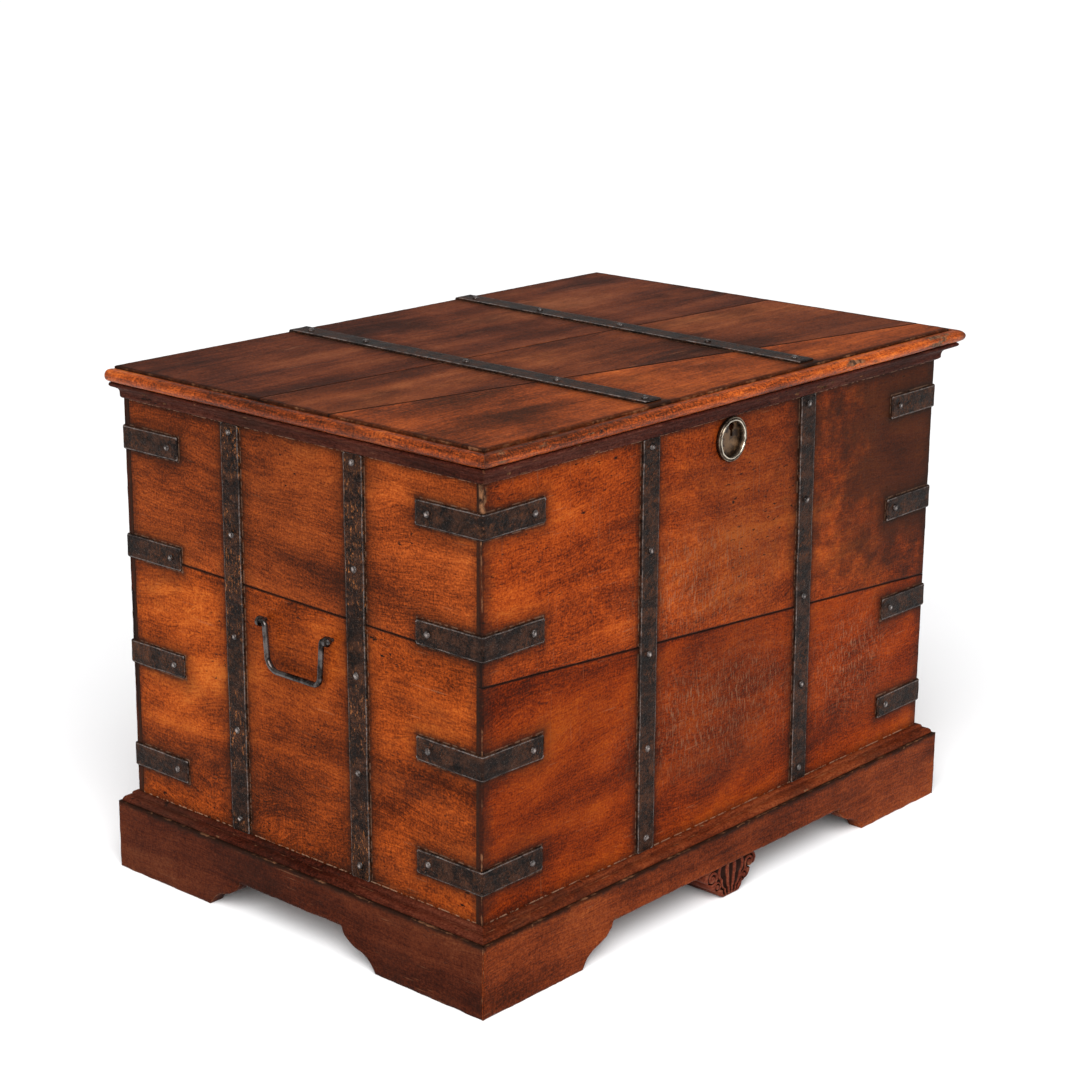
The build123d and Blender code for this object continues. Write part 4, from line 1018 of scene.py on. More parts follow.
def arms_for(u_lo, u_hi):
    return [(u_lo - 0.02, u_lo + ARM, z, BRH) for z in bz] + [(u_hi - ARM, u_hi + 0.02, z, BRH) for z in bz]


H2 = SW / 2
iron_front = ([(fs[n][0], fs[n][1], fs[n][2], fs[n][3], H2) for n in fs], arms_for(-CX, CX))
iron_back = ([(hs[n][0], hs[n][1], hs[n][2], hs[n][3], H2) for n in hs], arms_for(-CX, CX))
iron_left = ([(ss[n][0], ss[n][1], ss[n][2], ss[n][3], H2) for n in ss if n.startswith("left")], arms_for(CF, CB))
iron_right = ([(ss[n][0], ss[n][1], ss[n][2], ss[n][3], H2) for n in ss if n.startswith("right")], arms_for(CF, CB))
iron_lid = ([(ls[n][0], ls[n][1], ls[n][2], ls[n][3], H2) for n in ls], [])

# ---------------------------------------------------------------------------
# materials
# ---------------------------------------------------------------------------

# dark bands on the walls under the cornice and above the plinth cap: painted shade and dirt
back_shade_and_dirt_bands = (("z", CAP_Z, 1.0, 0.016, 0.50, 0.55),)
wall_shade_and_dirt_bands = (("z", COR_Z0, -1.0, 0.010, 0.55, 0.6), ("z", CAP_Z, 1.0, 0.016, 0.50, 0.55))
M = {}
M["front_u"] = wood("teak_front_upper", "x", "z", "y", CASE_TONE, seed=1.0, figure=1.0, flame=0.8, flame_rot=0.55,
                    dark=0.30, scratch=0.30, vscratch=0.30, iron=iron_front, shade_and_dirt_bands=wall_shade_and_dirt_bands, outer=(CF, -1.0), rough=0.40,
                    painted_shade_spots=[(0.42, 0.58, 0.38, 0.40, 0.86), (0.06, 0.55, 0.26, 0.30, 0.44)],
                    tan_mask=[(-0.05, 0.46, 0.22, 0.11, 0.70)], gloss=0.12, gain=(0.72, 0.66, 0.34), flecks=0.55, fuzz=1.9, edge_tan=0.6, corners=[("x", -CX), ("x", CX)])
M["front_l"] = wood("teak_front_lower", "x", "z", "y", CASE_TONE, seed=4.0, figure=1.2, flame=1.0, flame_rot=-0.6,
                    dark=0.32, scratch=0.30, vscratch=0.35, iron=iron_front, shade_and_dirt_bands=wall_shade_and_dirt_bands, outer=(CF, -1.0), rough=0.42,
                    painted_shade_spots=[(0.0, 0.30, 0.24, 0.26, 0.34), (-0.34, 0.28, 0.24, 0.28, 0.20)],
                    tan_mask=[(-0.02, 0.27, 0.26, 0.12, 0.75), (0.30, 0.26, 0.14, 0.12, 0.60)], gloss=0.12, gain=(0.56, 0.42, 0.11), fuzz=1.9, edge_tan=0.6, corners=[("x", -CX), ("x", CX)])
M["side_u"] = wood("teak_side_upper", "y", "z", "x", SIDE_TONE, seed=7.0, figure=1.0, flame=0.5, flame_rot=-0.3,
                   dark=0.36, scratch=0.25, iron=iron_left, shade_and_dirt_bands=wall_shade_and_dirt_bands, outer=(-CX, -1.0), rough=0.43, flecks=0.7, gloss=0.10, painted_shade_spots=[((CF + CB) / 2, 0.56, 0.20, 0.30, 0.34), (CB - 0.08, 0.56, 0.16, 0.30, 0.26)], gain=(0.86, 0.86, 0.56), fuzz=1.9, edge_tan=0.6, corners=[("y", CF), ("y", CB)])
M["side_l"] = wood("teak_side_lower", "y", "z", "x", SIDE_TONE, seed=9.0, figure=1.4, flame=0.9, flame_rot=0.7,
                   dark=0.36, scratch=0.25, iron=iron_left, shade_and_dirt_bands=wall_shade_and_dirt_bands, outer=(-CX, -1.0), rough=0.43, flecks=0.8, gloss=0.10, painted_shade_spots=[((CF + CB) / 2, 0.28, 0.20, 0.26, 0.26)], gain=(0.80, 0.75, 0.37), fuzz=1.9, edge_tan=0.6, corners=[("y", CF), ("y", CB)])
M["right_u"] = wood("teak_right_upper", "y", "z", "x", SIDE_TONE, seed=12.0, flame=0.6, dark=0.34, iron=iron_right,
                    shade_and_dirt_bands=wall_shade_and_dirt_bands, outer=(CX, 1.0), rough=0.43, gloss=0.10, gain=(0.80, 0.72, 0.55), corners=[("y", CF), ("y", CB)])
M["right_l"] = wood("teak_right_lower", "y", "z", "x", SIDE_TONE, seed=14.0, flame=0.8, dark=0.34, iron=iron_right,
                    shade_and_dirt_bands=wall_shade_and_dirt_bands, outer=(CX, 1.0), rough=0.43, gloss=0.10, gain=(0.80, 0.72, 0.55), corners=[("y", CF), ("y", CB)])
M["back_u"] = wood("teak_back_upper", "x", "z", "y", SIDE_TONE, seed=16.0, flame=0.5, dark=0.45, iron=iron_back,
                   shade_and_dirt_bands=back_shade_and_dirt_bands, outer=(CB, 1.0), rough=0.5, gain=(0.70, 0.62, 0.50), corners=[("x", -CX), ("x", CX)])
M["back_l"] = wood("teak_back_lower", "x", "z", "y", SIDE_TONE, seed=18.0, flame=0.6, dark=0.45, iron=iron_back,
                   shade_and_dirt_bands=back_shade_and_dirt_bands, outer=(CB, 1.0), rough=0.5, gain=(0.70, 0.62, 0.50), corners=[("x", -CX), ("x", CX)])
# each lid board has dark bands along the lid's edges: painted shade and dirt
for i, k in enumerate(("lid_f", "lid_m", "lid_b")):
    M[k] = wood("teak_" + k, "x", "y", "z", LID_TONE, seed=21.0 + 3 * i, figure=0.7, flame=0.3, flame_rot=0.15,
                dark=0.50, scratch=0.35, iron=iron_lid, rough=0.42, edge_tan=0.7, outer=(LZ1, 1.0),
                gain=((1.65, 1.28, 0.49), (0.86, 0.76, 0.46), (0.70, 0.62, 0.44))[i], fuzz=1.3,
                shade_and_dirt_bands=(("x", -LX, 1.0, 0.010, 0.8, 0.0), ("x", LX, -1.0, 0.010, 0.8, 0.0),
                       ("y", LF, 1.0, 0.010, 0.8, 0.0), ("y", LB, -1.0, 0.010, 0.6, 0.0)))
M["torus_f"] = wood("teak_torus_front", "x", "z", "y", MOULD_TONE, seed=31.0, figure=0.3, dark=0.35, scratch=0.4,
                    flecks=0.9, edge_tan=0.5, gloss=0.1, gain=(0.98, 0.78, 0.36), sheen=0.12, rough=0.34, fuzz=1.8, streak=1.7, bump=0.6, corners=[("x", -LX - 0.018), ("x", LX + 0.018)])
M["torus_s"] = wood("teak_torus_side", "y", "z", "x", MOULD_TONE, seed=33.0, figure=0.3, dark=0.65, scratch=0.3,
                    flecks=0.7, edge_tan=0.5, gloss=0.1, gain=(0.80, 0.64, 0.34), sheen=0.12, rough=0.34, fuzz=1.8, streak=1.7, bump=0.6)
M["corn_f"] = wood("teak_cornice_front", "x", "z", "y", PLINTH_TONE, seed=35.0, figure=0.3, dark=0.75, scratch=0.25,
                   rough=0.42, flecks=0.5, edge_tan=0.5, gloss=0.1, gain=(0.34, 0.33, 0.36), fuzz=2.0, bump=0.9)
M["corn_s"] = wood("teak_cornice_side", "y", "z", "x", PLINTH_TONE, seed=37.0, figure=0.3, dark=0.70, scratch=0.25,
                   rough=0.42, flecks=0.5, edge_tan=0.7, gloss=0.1, gain=(0.34, 0.33, 0.34), fuzz=2.0, bump=0.9)
M["cap_f"] = wood("teak_cap_front", "x", "z", "y", PLINTH_TONE, seed=39.0, figure=0.3, dark=0.65, scratch=0.2,
                  rough=0.45, flecks=0.5, edge_tan=0.75, gain=(0.62, 0.47, 0.26), fuzz=1.8, bump=0.8)
M["cap_s"] = wood("teak_cap_side", "y", "z", "x", PLINTH_TONE, seed=41.0, figure=0.3, dark=0.65, scratch=0.2,
                  rough=0.45, flecks=0.5, edge_tan=0.75, gain=(0.34, 0.30, 0.26), fuzz=1.8, bump=0.8)
# the plinth boards have a dark band under their top edge: painted shade and dirt
M["pl_f"] = wood("teak_plinth_front", "x", "z", "y", PLINTH_TONE, seed=43.0, figure=0.8, flame=0.4, dark=0.30,
                 scratch=0.3, rough=0.42, edge_tan=0.6, gloss=0.12, gain=(0.86, 0.64, 0.24), fuzz=1.5, shade_and_dirt_bands=(("z", PZ, -1.0, 0.0085, 0.95, 0.0),))
M["pl_s"] = wood("teak_plinth_side", "y", "z", "x", PLINTH_TONE, seed=45.0, figure=0.8, flame=0.4, dark=0.34,
                 scratch=0.3, rough=0.42, edge_tan=0.6, gloss=0.12, gain=(0.34, 0.28, 0.17), fuzz=1.5, shade_and_dirt_bands=(("z", PZ, -1.0, 0.0080, 0.95, 0.0),))
M["foot"] = wood("teak_foot", "x", "z", "y", PLINTH_TONE, seed=47.0, figure=0.5, dark=0.45, rough=0.45,
                 edge_tan=0.6, gloss=0.1, gain=(0.52, 0.42, 0.38), fuzz=1.5)
M["inside_x"] = wood("teak_inside_x", "x", "y", "z", INSIDE_TONE, seed=49.0, dark=0.4, rough=0.6)
M["inside_y"] = wood("teak_inside_y", "y", "x", "z", INSIDE_TONE, seed=51.0, dark=0.4, rough=0.6)
# painted highlight on worn edges is strongest on the lid straps and the nail heads
M["iron"] = iron_mat("forged_iron", edge_wear_and_highlight=1.35, rough=0.38, flecks=0.12, spec=0.06)
M["iron_side"] = iron_mat("forged_iron_side", edge_wear_and_highlight=1.2, rough=0.40, flecks=0.8, spec=0.05)
M["iron_bail"] = iron_mat("forged_iron_round_painted_highlight", edge_wear_and_highlight=1.6, rough=0.16, shine=0.80, painted_sheen=0.45, bumpy=0.35, spec=0.6)
M["iron_lid"] = iron_mat("forged_iron_lid_painted_highlight", edge_wear_and_highlight=2.6, rough=0.34)
M["nail"] = iron_mat("forged_iron_nail_painted_highlight", edge_wear_and_highlight=4.2, rough=0.18, shine=0.45, painted_sheen=0.35, spec=0.4)
M["brass"] = brass_mat("old_brass")
M["brass_dark"] = brass_mat("old_brass_plate", dark=True)

# ---------------------------------------------------------------------------
# case
# ---------------------------------------------------------------------------

G = 0.0002          # half of the hairline left between jointed boards
ecz = B("escutcheon")
EC = ((ecz[0][0] + ecz[1][0]) / 2, (ecz[0][2] + ecz[1][2]) / 2)
ER = (ecz[1][0] - ecz[0][0]) / 2


def corner_chip(u_corner, inward):
    """Wood broken off the upright arris under the moulding."""
    def f(U, V):
        d = (U - u_corner) * inward
        q = np.stack([U * 90, V * 60, 0 * U], -1)
        n = fbm(q, 71, 3)
        top = smooth(0.600, 0.650, V)
        a = smooth(0.0, 1.0, (0.007 + 0.007 * n - d) / 0.006) * top
        return -0.0022 * a, a
    return f


slab("front_board_upper", wall_front, -CX, CX, front_seam, lambda u: CZ1 + 0 * u, BT, M["front_u"],
     back=[(-CX, -LAPF), (-CX + BT, -LAPF), (-CX + BT, -BT), (CX - BT, -BT), (CX - BT, -LAPF), (CX, -LAPF)],
     seed=1, hole=(EC, 0.0268, 0.018), chip=corner_chip(-CX, 1.0), gap_b=G)
slab("front_board_lower", wall_front, -CX, CX, lambda u: CZ0 + 0 * u, front_seam, BT, M["front_l"],
     back=[(-CX, -LAPF), (-CX + BT, -LAPF), (-CX + BT, -BT), (CX - BT, -BT), (CX - BT, -LAPF), (CX, -LAPF)],
     seed=2, gap_t=G)
slab("back_board_upper", wall_back, -CX, CX, back_seam, lambda u: CZ1 + 0 * u, BT, M["back_u"],
     back=[(-CX, -LAPF), (-CX + BT, -LAPF), (-CX + BT, -BT), (CX - BT, -BT), (CX - BT, -LAPF), (CX, -LAPF)],
     seed=3, gap_b=G, flip=True)
slab("back_board_lower", wall_back, -CX, CX, lambda u: CZ0 + 0 * u, back_seam, BT, M["back_l"],
     back=[(-CX, -LAPF), (-CX + BT, -LAPF), (-CX + BT, -BT), (CX - BT, -BT), (CX - BT, -LAPF), (CX, -LAPF)],
     seed=4, gap_t=G, flip=True)
for side, P, fl, mu, ml in (("left", wall_left, True, "side_u", "side_l"), ("right", wall_right, False, "right_u", "right_l")):
    slab(side + "_board_upper", P, SY0, SY1, side_seam, lambda u: CZ1 + 0 * u, BT, M[mu], seed=5 + fl, gap_b=G, flip=fl)
    slab(side + "_board_lower", P, SY0, SY1, lambda u: CZ0 + 0 * u, side_seam, BT, M[ml], seed=7 + fl, gap_t=G, flip=fl)

# ---------------------------------------------------------------------------
# lid boards
# ---------------------------------------------------------------------------

LT = LZ1 - LZ0
slab("lid_board_front", lid_top, -LX, LX, lambda u: LF + 0 * u, seam_a, LT, M["lid_f"], seed=11, edge=0.0014,
     wave=0.0005, gap_t=G)
slab("lid_board_middle", lid_top, -LX, LX, seam_a, seam_b, LT, M["lid_m"], seed=12, edge=0.0010, wave=0.0005, gap_b=G,
     gap_t=G)
slab("lid_board_back", lid_top, -LX, LX, seam_b, lambda u: LB + 0 * u, LT, M["lid_b"], seed=13, edge=0.0014,
     wave=0.0005, gap_b=G)


# ---------------------------------------------------------------------------
# mouldings
# ---------------------------------------------------------------------------

def mm(pts):
    return [(p[0] / 1000.0, p[1] / 1000.0) for p in pts]


def dense(pts, step=0.8):
    out = []
    for a, b in zip(pts, pts[1:] + pts[:1]):
        n = max(1, int(round(math.hypot(b[0] - a[0], b[1] - a[1]) / step)))
        for i in range(n):
            out.append((a[0] + (b[0] - a[0]) * i / n, a[1] + (b[1] - a[1]) * i / n))
    return out


T0, T1 = COR_Z0 * 1000, COR_Z1 * 1000
corn = [(0, T0), (2.6, T0 + 0.6)] + arc_pts((2.6, T0 + 0.6), (5.9, T0 + 2.3), (6.7, T0 + 5.6), 6)[1:]
corn += arc_pts((6.7, T0 + 7.3), (8.7, T0 + 12.4), (13.6, T0 + 15.6), 8) if False else \
    [(6.7, T0 + 7.3), (6.9, T0 + 9.2), (7.6, T0 + 11.2), (8.8, T0 + 12.9), (10.6, T0 + 14.4), (12.2, T0 + 15.2), (13.6, T0 + 15.6)]
corn += [(13.6, T0 + 18.0), (14.1, T0 + 18.5), (21.0, T0 + 19.0)]
corn += [(22.6, T0 + 19.3), (24.0, T0 + 20.3), (24.75, T0 + 22.2), (24.0, T0 + 24.2), (22.6, T0 + 25.3), (21.0, T1)]
corn += [(0, T1)]
corn = mm(dense(corn, 1.6))

Z = LZ0 * 1000
tor = [(0, Z + 0.15), (9.2, Z + 0.15)] + arc_pts((9.2, Z + 0.15), (18.15, Z + 8.7), (9.4, Z + 17.2), 18)[1:]
tor += [(5.0, Z + 17.15), (4.2, Z + 16.9), (3.4, Z + 16.0), (0, Z + 16.0)]
tor = mm(dense(tor, 1.6))


def cap_prof(width):
    k = width * 1000 / 23.0
    z = PZ * 1000
    p = [(-4.6, z), (-4.6, z + 0.9), (-4.9, z + 2.8), (-5.9, z + 4.9), (-7.6, z + 6.6), (-9.8, z + 7.6),
         (-12.4, z + 8.0), (-13.8, z + 8.1), (-14.2, z + 7.3), (-15.2, z + 7.3), (-15.2, z + 9.9), (-15.5, z + 11.6),
         (-16.4, z + 12.9), (-17.8, z + 13.7), (-19.6, z + 14.0), (-23.0, z + 14.0), (-23.0, z)]
    return mm(dense([(a * k, b) for a, b in p], 1.5))[::-1]


def pits(seed, lo=0.0, rate=0.62, depth=0.0011, where=None):
    def f(S, U, Z):
        q = np.stack([S * 75, U * 160, Z * 160], -1)
        n = fbm(q, seed, 3)
        a = smooth(rate * 0.55, rate * 0.95, n)
        if where is not None:
            a = np.clip(a + where(S, U, Z, n), 0, 1)
        return -depth * a, a
    return f


def P_front(U, S, Z, ref):
    return np.stack([S, ref - U, Z], -1)


def P_back(U, S, Z, ref):
    return np.stack([S, ref + U, Z], -1)


def P_left(U, S, Z, ref):
    return np.stack([ref - U, S, Z], -1)


def P_right(U, S, Z, ref):
    return np.stack([ref + U, S, Z], -1)


g2 = 0.00015
moulding("cornice_front", corn, lambda U, S, Z: P_front(U, S, Z, CF), lambda u: -CX - u + g2, lambda u: CX + u - g2,
         M["corn_f"], seed=51, chips=pits(61, rate=0.85))
moulding("cornice_left", corn, lambda U, S, Z: P_left(U, S, Z, -CX), lambda u: CF - u + g2, lambda u: CB + 0 * u,
         M["corn_s"], seed=52, chips=pits(62, rate=0.85), flip=True)
moulding("cornice_right", corn, lambda U, S, Z: P_right(U, S, Z, CX), lambda u: CF - u + g2, lambda u: CB + 0 * u,
         M["corn_s"], seed=53, chips=pits(63, rate=0.85))


def torus_wear(S, U, Z, n):
    """Broken places on the lid's edge."""
    w = 0
    for (s0, r, a) in ((0.235, 0.030, 0.7), (0.44, 0.035, 0.8), (-0.40, 0.02, 0.5), (-0.475, 0.012, 0.6)):
        w = w + a * np.exp(-((S - s0) / r) ** 2) * smooth(-0.25, 0.35, n) * smooth(0.004, 0.010, U)
    return w


moulding("lid_moulding_front", tor, lambda U, S, Z: P_front(U, S, Z, LF), lambda u: -LX - u + g2, lambda u: LX + u - g2,
         M["torus_f"], seed=54, amp=0.0004, chips=pits(64, rate=0.72, where=torus_wear))
moulding("lid_moulding_left", tor, lambda U, S, Z: P_left(U, S, Z, -LX), lambda u: LF - u + g2, lambda u: LB + 0 * u,
         M["torus_s"], seed=55, amp=0.0004, chips=pits(65, rate=0.80), flip=True)
moulding("lid_moulding_right", tor, lambda U, S, Z: P_right(U, S, Z, LX), lambda u: LF - u + g2, lambda u: LB + 0 * u,
         M["torus_s"], seed=56, amp=0.0004, chips=pits(66, rate=0.80))
cpf, cpb = cap_prof(PTF), cap_prof(PTB)
moulding("plinth_cap_front", cpf, lambda U, S, Z: P_front(U, S, Z, PF), lambda u: -PX - u + g2, lambda u: PX + u - g2,
         M["cap_f"], seed=57, chips=pits(67, rate=0.85), bonded=-9.0)
moulding("plinth_cap_back", cpb, lambda U, S, Z: P_back(U, S, Z, PB),
         lambda u: -PX - u * PTF / PTB + g2, lambda u: PX + u * PTF / PTB - g2,
         M["cap_f"], seed=58, chips=pits(68, rate=0.85), bonded=-9.0, flip=True)
moulding("plinth_cap_left", cpf, lambda U, S, Z: P_left(U, S, Z, -PX), lambda u: PF - u + g2,
         lambda u: PB + u * PTB / PTF - g2, M["cap_s"], seed=59, chips=pits(69, rate=0.85), bonded=-9.0, flip=True)
moulding("plinth_cap_right", cpf, lambda U, S, Z: P_right(U, S, Z, PX), lambda u: PF - u + g2,
         lambda u: PB + u * PTB / PTF - g2, M["cap_s"], seed=60, chips=pits(70, rate=0.85), bonded=-9.0)

# ---------------------------------------------------------------------------
# plinth boards with bracket feet
# ---------------------------------------------------------------------------

FOOT = np.array([(187.0, 0.0), (189.2, 3.2), (192.5, 8.0), (196.6, 12.9), (201.0, 16.5), (206.3, 19.6), (212.0, 21.8),
                 (218.0, 23.5), (224.0, 25.4), (229.2, 27.6), (234.0, 30.5), (238.1, 33.6), (241.5, 37.0),
                 (243.8, 40.0), (245.5, 43.0), (247.5, 48.0)]) / 1000.0


def plinth_board(node, P, half, mid, foot_shift, thick, mat, seed, mitre0, mitre1, flip):
    """u runs along the side; mitre0 and mitre1 say whether each end is cut back by the thickness."""
    top = PZ
    edge = 0.0012
    us = list(spaced(-half, half, 0.005, (edge * 0.35, edge, edge * 2.2)))
    fp = FOOT.copy()
    fp[:, 0] -= foot_shift
    zone = (fp[0, 0] - 0.001, fp[-1, 0] + 0.001)
    us = [u for u in us if not (zone[0] < half - abs(u) < zone[1])]
    for s, _ in fp:
        us += [half - s, -half + s]
    us += [half - fp[0, 0] + 0.0008, -(half - fp[0, 0] + 0.0008), half - fp[-1, 0] - 0.001, -(half - fp[-1, 0] - 0.001)]
    us = np.array(sorted(set(np.round(us, 6))))

    def low(u):
        return np.interp(half - np.abs(u), np.r_[0, fp[:, 0], 9], np.r_[0, fp[:, 1], fp[-1, 1]])

    nv = 18
    tt = np.r_[0, 0.012, 0.035, 0.07, np.linspace(0.11, 0.89, nv - 8), 0.93, 0.965, 0.988, 1.0]
    U, T = np.meshgrid(us, tt)
    L0 = low(U)
    V = L0 + (top - L0) * T
    # distance to the outline
    slope = np.gradient(low(us), us)
    dz = (V - L0) / np.sqrt(1 + slope ** 2)[None, :]
    d = np.minimum(np.minimum(dz, top - V), np.minimum(U + half, half - U))
    P3 = np.stack([U, V, 0 * U + seed], -1)
    wob = 1 + 0.9 * fbm(P3 * 50, seed + 5, 2) + 0.5 * fbm(P3 * 170, seed + 6, 2)
    k = np.clip(1 - d / (edge * 2.4), 0, 1)
    N = -edge * np.clip(wob, 0.3, 2.4) * k ** 2.0
    N = N + 0.0004 * (fbm(P3 * np.array([5, 12, 1.0]), seed, 3) - 0.6) * smooth(0, 0.02, d)
    nr, nc = U.shape
    outer = P(U, V, N).reshape(-1, 3)
    # inner face: same columns, two rows, pulled in at mitred ends
    ub = np.clip(us, -half + (thick if mitre0 else 0), half - (thick if mitre1 else 0))
    b0 = P(ub, low(us), 0 * us - thick)
    b1 = P(ub, 0 * us + top, 0 * us - thick)
    base = nr * nc
    fs_ = grid_faces(nr, nc)
    sm = [True] * len(fs_)
    for i in range(nc - 1):
        fs_.append([i + 1, i, base + i, base + i + 1])
        sm.append(True)
    last = (nr - 1) * nc
    fs_.append([last + i for i in range(nc)] + [base + nc + i for i in range(nc)][::-1])
    sm.append(False)
    col0 = [r * nc for r in range(nr)]
    coln = [r * nc + nc - 1 for r in range(nr)]
    fs_.append(col0 + [base + nc, base])
    fs_.append(coln[::-1] + [base + nc - 1, base + 2 * nc - 1])
    sm += [False, False]
    for i in range(nc - 1):
        fs_.append([base + i, base + nc + i, base + nc + i + 1, base + i + 1])
        sm.append(False)
    if flip:
        fs_ = [f[::-1] for f in fs_]
    m = Mesh()
    m.add(np.vstack([outer, b0, b1]), fs_, sm, edge=np.r_[np.exp(-d.ravel() / 0.0035), np.zeros(2 * nc)],
          chip=np.r_[0.8 * smooth(0.35, 0.75, fbm(P3 * 120, seed + 9, 3)).ravel() * np.exp(-d.ravel() / 0.004),
                     np.zeros(2 * nc)])
    return m.build(node + "_v", body="chest", slot=NODE_SLOT[node], mat=mat, replaces=[node])


plinth_board("plinth_front", lambda u, v, n: np.stack([u, PF - n, v], -1), PX, 0, 0, PTF, M["pl_f"], 81, True, True, False)
plinth_board("plinth_left", lambda u, v, n: np.stack([-PX - n, PC + u, v], -1), PC - PF, PC, 0, PTF, M["pl_s"], 82,
             True, False, True)
plinth_board("plinth_right", lambda u, v, n: np.stack([PX + n, PC + u, v], -1), PC - PF, PC, 0, PTF, M["pl_s"], 83,
             True, False, False)
plinth_board("plinth_back", lambda u, v, n: np.stack([u, PB + n, v], -1), PX - PTF, 0, PTF, PTB, M["pl_f"], 84, False,
             False, True)

# ---------------------------------------------------------------------------
# carved foot in the middle of the front
# ---------------------------------------------------------------------------

cf = B("centre_foot")
FX = (cf[0][0] + cf[1][0]) / 2
FY = cf[0][1]
FD = cf[1][1] - cf[0][1]
FH = 0.048


def foot_half(z):
    """Half width of the scrolled outline at height z."""
    zz = np.array([0, 1.2, 3.2, 7, 12, 13.2, 15, 18, 23, 28, 29.2, 31, 34, 39, 44, 48]) / 1000
    ww = np.array([12, 17, 21.2, 24.8, 26, 31, 36, 40.5, 43.3, 44, 48.5, 52.2, 55.2, 56.6, 54.6, 51]) / 1000
    return np.interp(z, zz, ww)


def carve(x, z):
    """Depth below the ridges: flutes that follow the outline, a volute with a button at each shoulder."""
    w = foot_half(z) * 1000
    x, z = x * 1000, z * 1000
    q = np.abs(x) / np.maximum(w, 1.0)
    rv = np.hypot(np.abs(x) - 41.0, z - 35.5)
    rl = np.hypot(np.abs(x) - 29.5, z - 19.5)
    out = smooth(10.5, 13.5, rv) * smooth(6.5, 8.5, rl)
    g = np.zeros_like(x)
    for q0, wd in ((0.0, 0.075), (0.31, 0.095), (0.60, 0.085)):
        g = np.maximum(g, np.exp(-((q - q0) / wd) ** 4))
    g = g * out * smooth(1.0, 5.0, z)
    th = np.arctan2(z - 35.5, np.abs(x) - 41.0)
    sp = (rv / 6.6 - th / (2 * math.pi) + 0.1) % 1.0
    g = np.maximum(g, np.exp(-((sp - 0.5) / 0.20) ** 4) * smooth(12.8, 11.2, rv) * smooth(2.6, 3.8, rv))
    g = np.maximum(g, np.exp(-((rl - 4.6) / 1.1) ** 4))
    return g * 0.0052


def build_foot():
    nx, nz = 220, 90
    zs = np.unique(np.r_[np.linspace(0, FH, nz), 0.0005, FH - 0.0005])
    ts = np.linspace(-1, 1, nx + 1)
    Zg, Tg = np.meshgrid(zs, ts, indexing="ij")
    Xg = foot_half(Zg) * Tg
    Hh = carve(Xg, Zg)
    de = np.minimum((1 - np.abs(Tg)) * foot_half(Zg), np.minimum(Zg, FH - Zg + 0.01))
    rim = -0.0022 * np.clip(1 - de / 0.003, 0, 1) ** 2
    P3 = np.stack([Xg, Zg, 0 * Xg], -1)
    dep = -Hh + rim + 0.0003 * fbm(P3 * 220, 91, 3) - 0.0004
    nr, nc = Xg.shape
    front = np.stack([FX + Xg, FY - dep, Zg], -1).reshape(-1, 3)
    back = np.stack([FX + foot_half(zs), 0 * zs + FY + FD, zs], -1)
    backl = np.stack([FX - foot_half(zs), 0 * zs + FY + FD, zs], -1)
    m = Mesh()
    base = nr * nc
    fs_ = grid_faces(nr, nc)
    sm = [True] * len(fs_)
    BR = [base + i for i in range(nr)]
    BL = [base + nr + i for i in range(nr)]
    for i in range(nr - 1):
        fs_.append([i * nc + nc - 1, BR[i], BR[i + 1], (i + 1) * nc + nc - 1])
        fs_.append([i * nc, (i + 1) * nc, BL[i + 1], BL[i]])
        fs_.append([BR[i], BL[i], BL[i + 1], BR[i + 1]])
        sm += [True, True, False]
    fs_.append([c for c in range(nc)][::-1] + [BL[0], BR[0]])
    fs_.append([(nr - 1) * nc + c for c in range(nc)] + [BR[-1], BL[-1]])
    sm += [False, False]
    # the carved grooves are darkened in the wood material as painted shade
    groove = np.clip(Hh.ravel() / 0.0036, 0, 1)
    m.add(np.vstack([front, back, backl]), fs_, sm, edge=np.r_[(1 - groove) * 0.9, np.zeros(2 * nr)],
          seam=np.r_[groove * 0.8, np.zeros(2 * nr)], chip=0.0)
    # the step behind the apron, up to the front board
    x0, x1, y0, y1, z0, z1 = FX - 0.04, FX + 0.04, CF, FY + FD, FH - 0.0, CZ0
    v = [(x, y, z) for x in (x0, x1) for y in (y0, y1) for z in (z0, z1)]
    f = [[0, 1, 3, 2], [4, 6, 7, 5], [0, 4, 5, 1], [2, 3, 7, 6], [0, 2, 6, 4], [1, 5, 7, 3]]
    m.add(v, f, False, edge=0.0, chip=0.0)
    return m.build("centre_foot_v", body="chest", slot="teak_plinth", mat=M["foot"], replaces=["centre_foot"])


build_foot()

# ---------------------------------------------------------------------------
# iron
# ---------------------------------------------------------------------------


def strap(node, P, a, b, z0, z1, seed):
    m = Mesh()
    p0, p1 = P(np.array([a]), np.array([z0]), np.array([0.0]))[0], P(np.array([b]), np.array([z1]), np.array([0.0]))[0]
    pn = P(np.array([a]), np.array([z0]), np.array([1.0]))[0] - p0
    pts = line_pts(p0, p1, 0.005)
    wd = P(np.array([a + 1.0]), np.array([z0]), np.array([0.0]))[0] - p0
    bar_mesh(m, pts, np.repeat(pn[None], len(pts), 0), wd, H2 - 0.0004, ST, seed=seed)
    return m.build(node + "_v", body="chest", slot="forged_iron",
                   mat=M["iron" if node.startswith("front") else "iron_side"], replaces=[node])


for i, n in enumerate(fs):
    strap(n, wall_front, *fs[n], seed=101 + i)
for i, n in enumerate(ss):
    strap(n, wall_left if n.startswith("left") else wall_right, *ss[n], seed=105 + i)


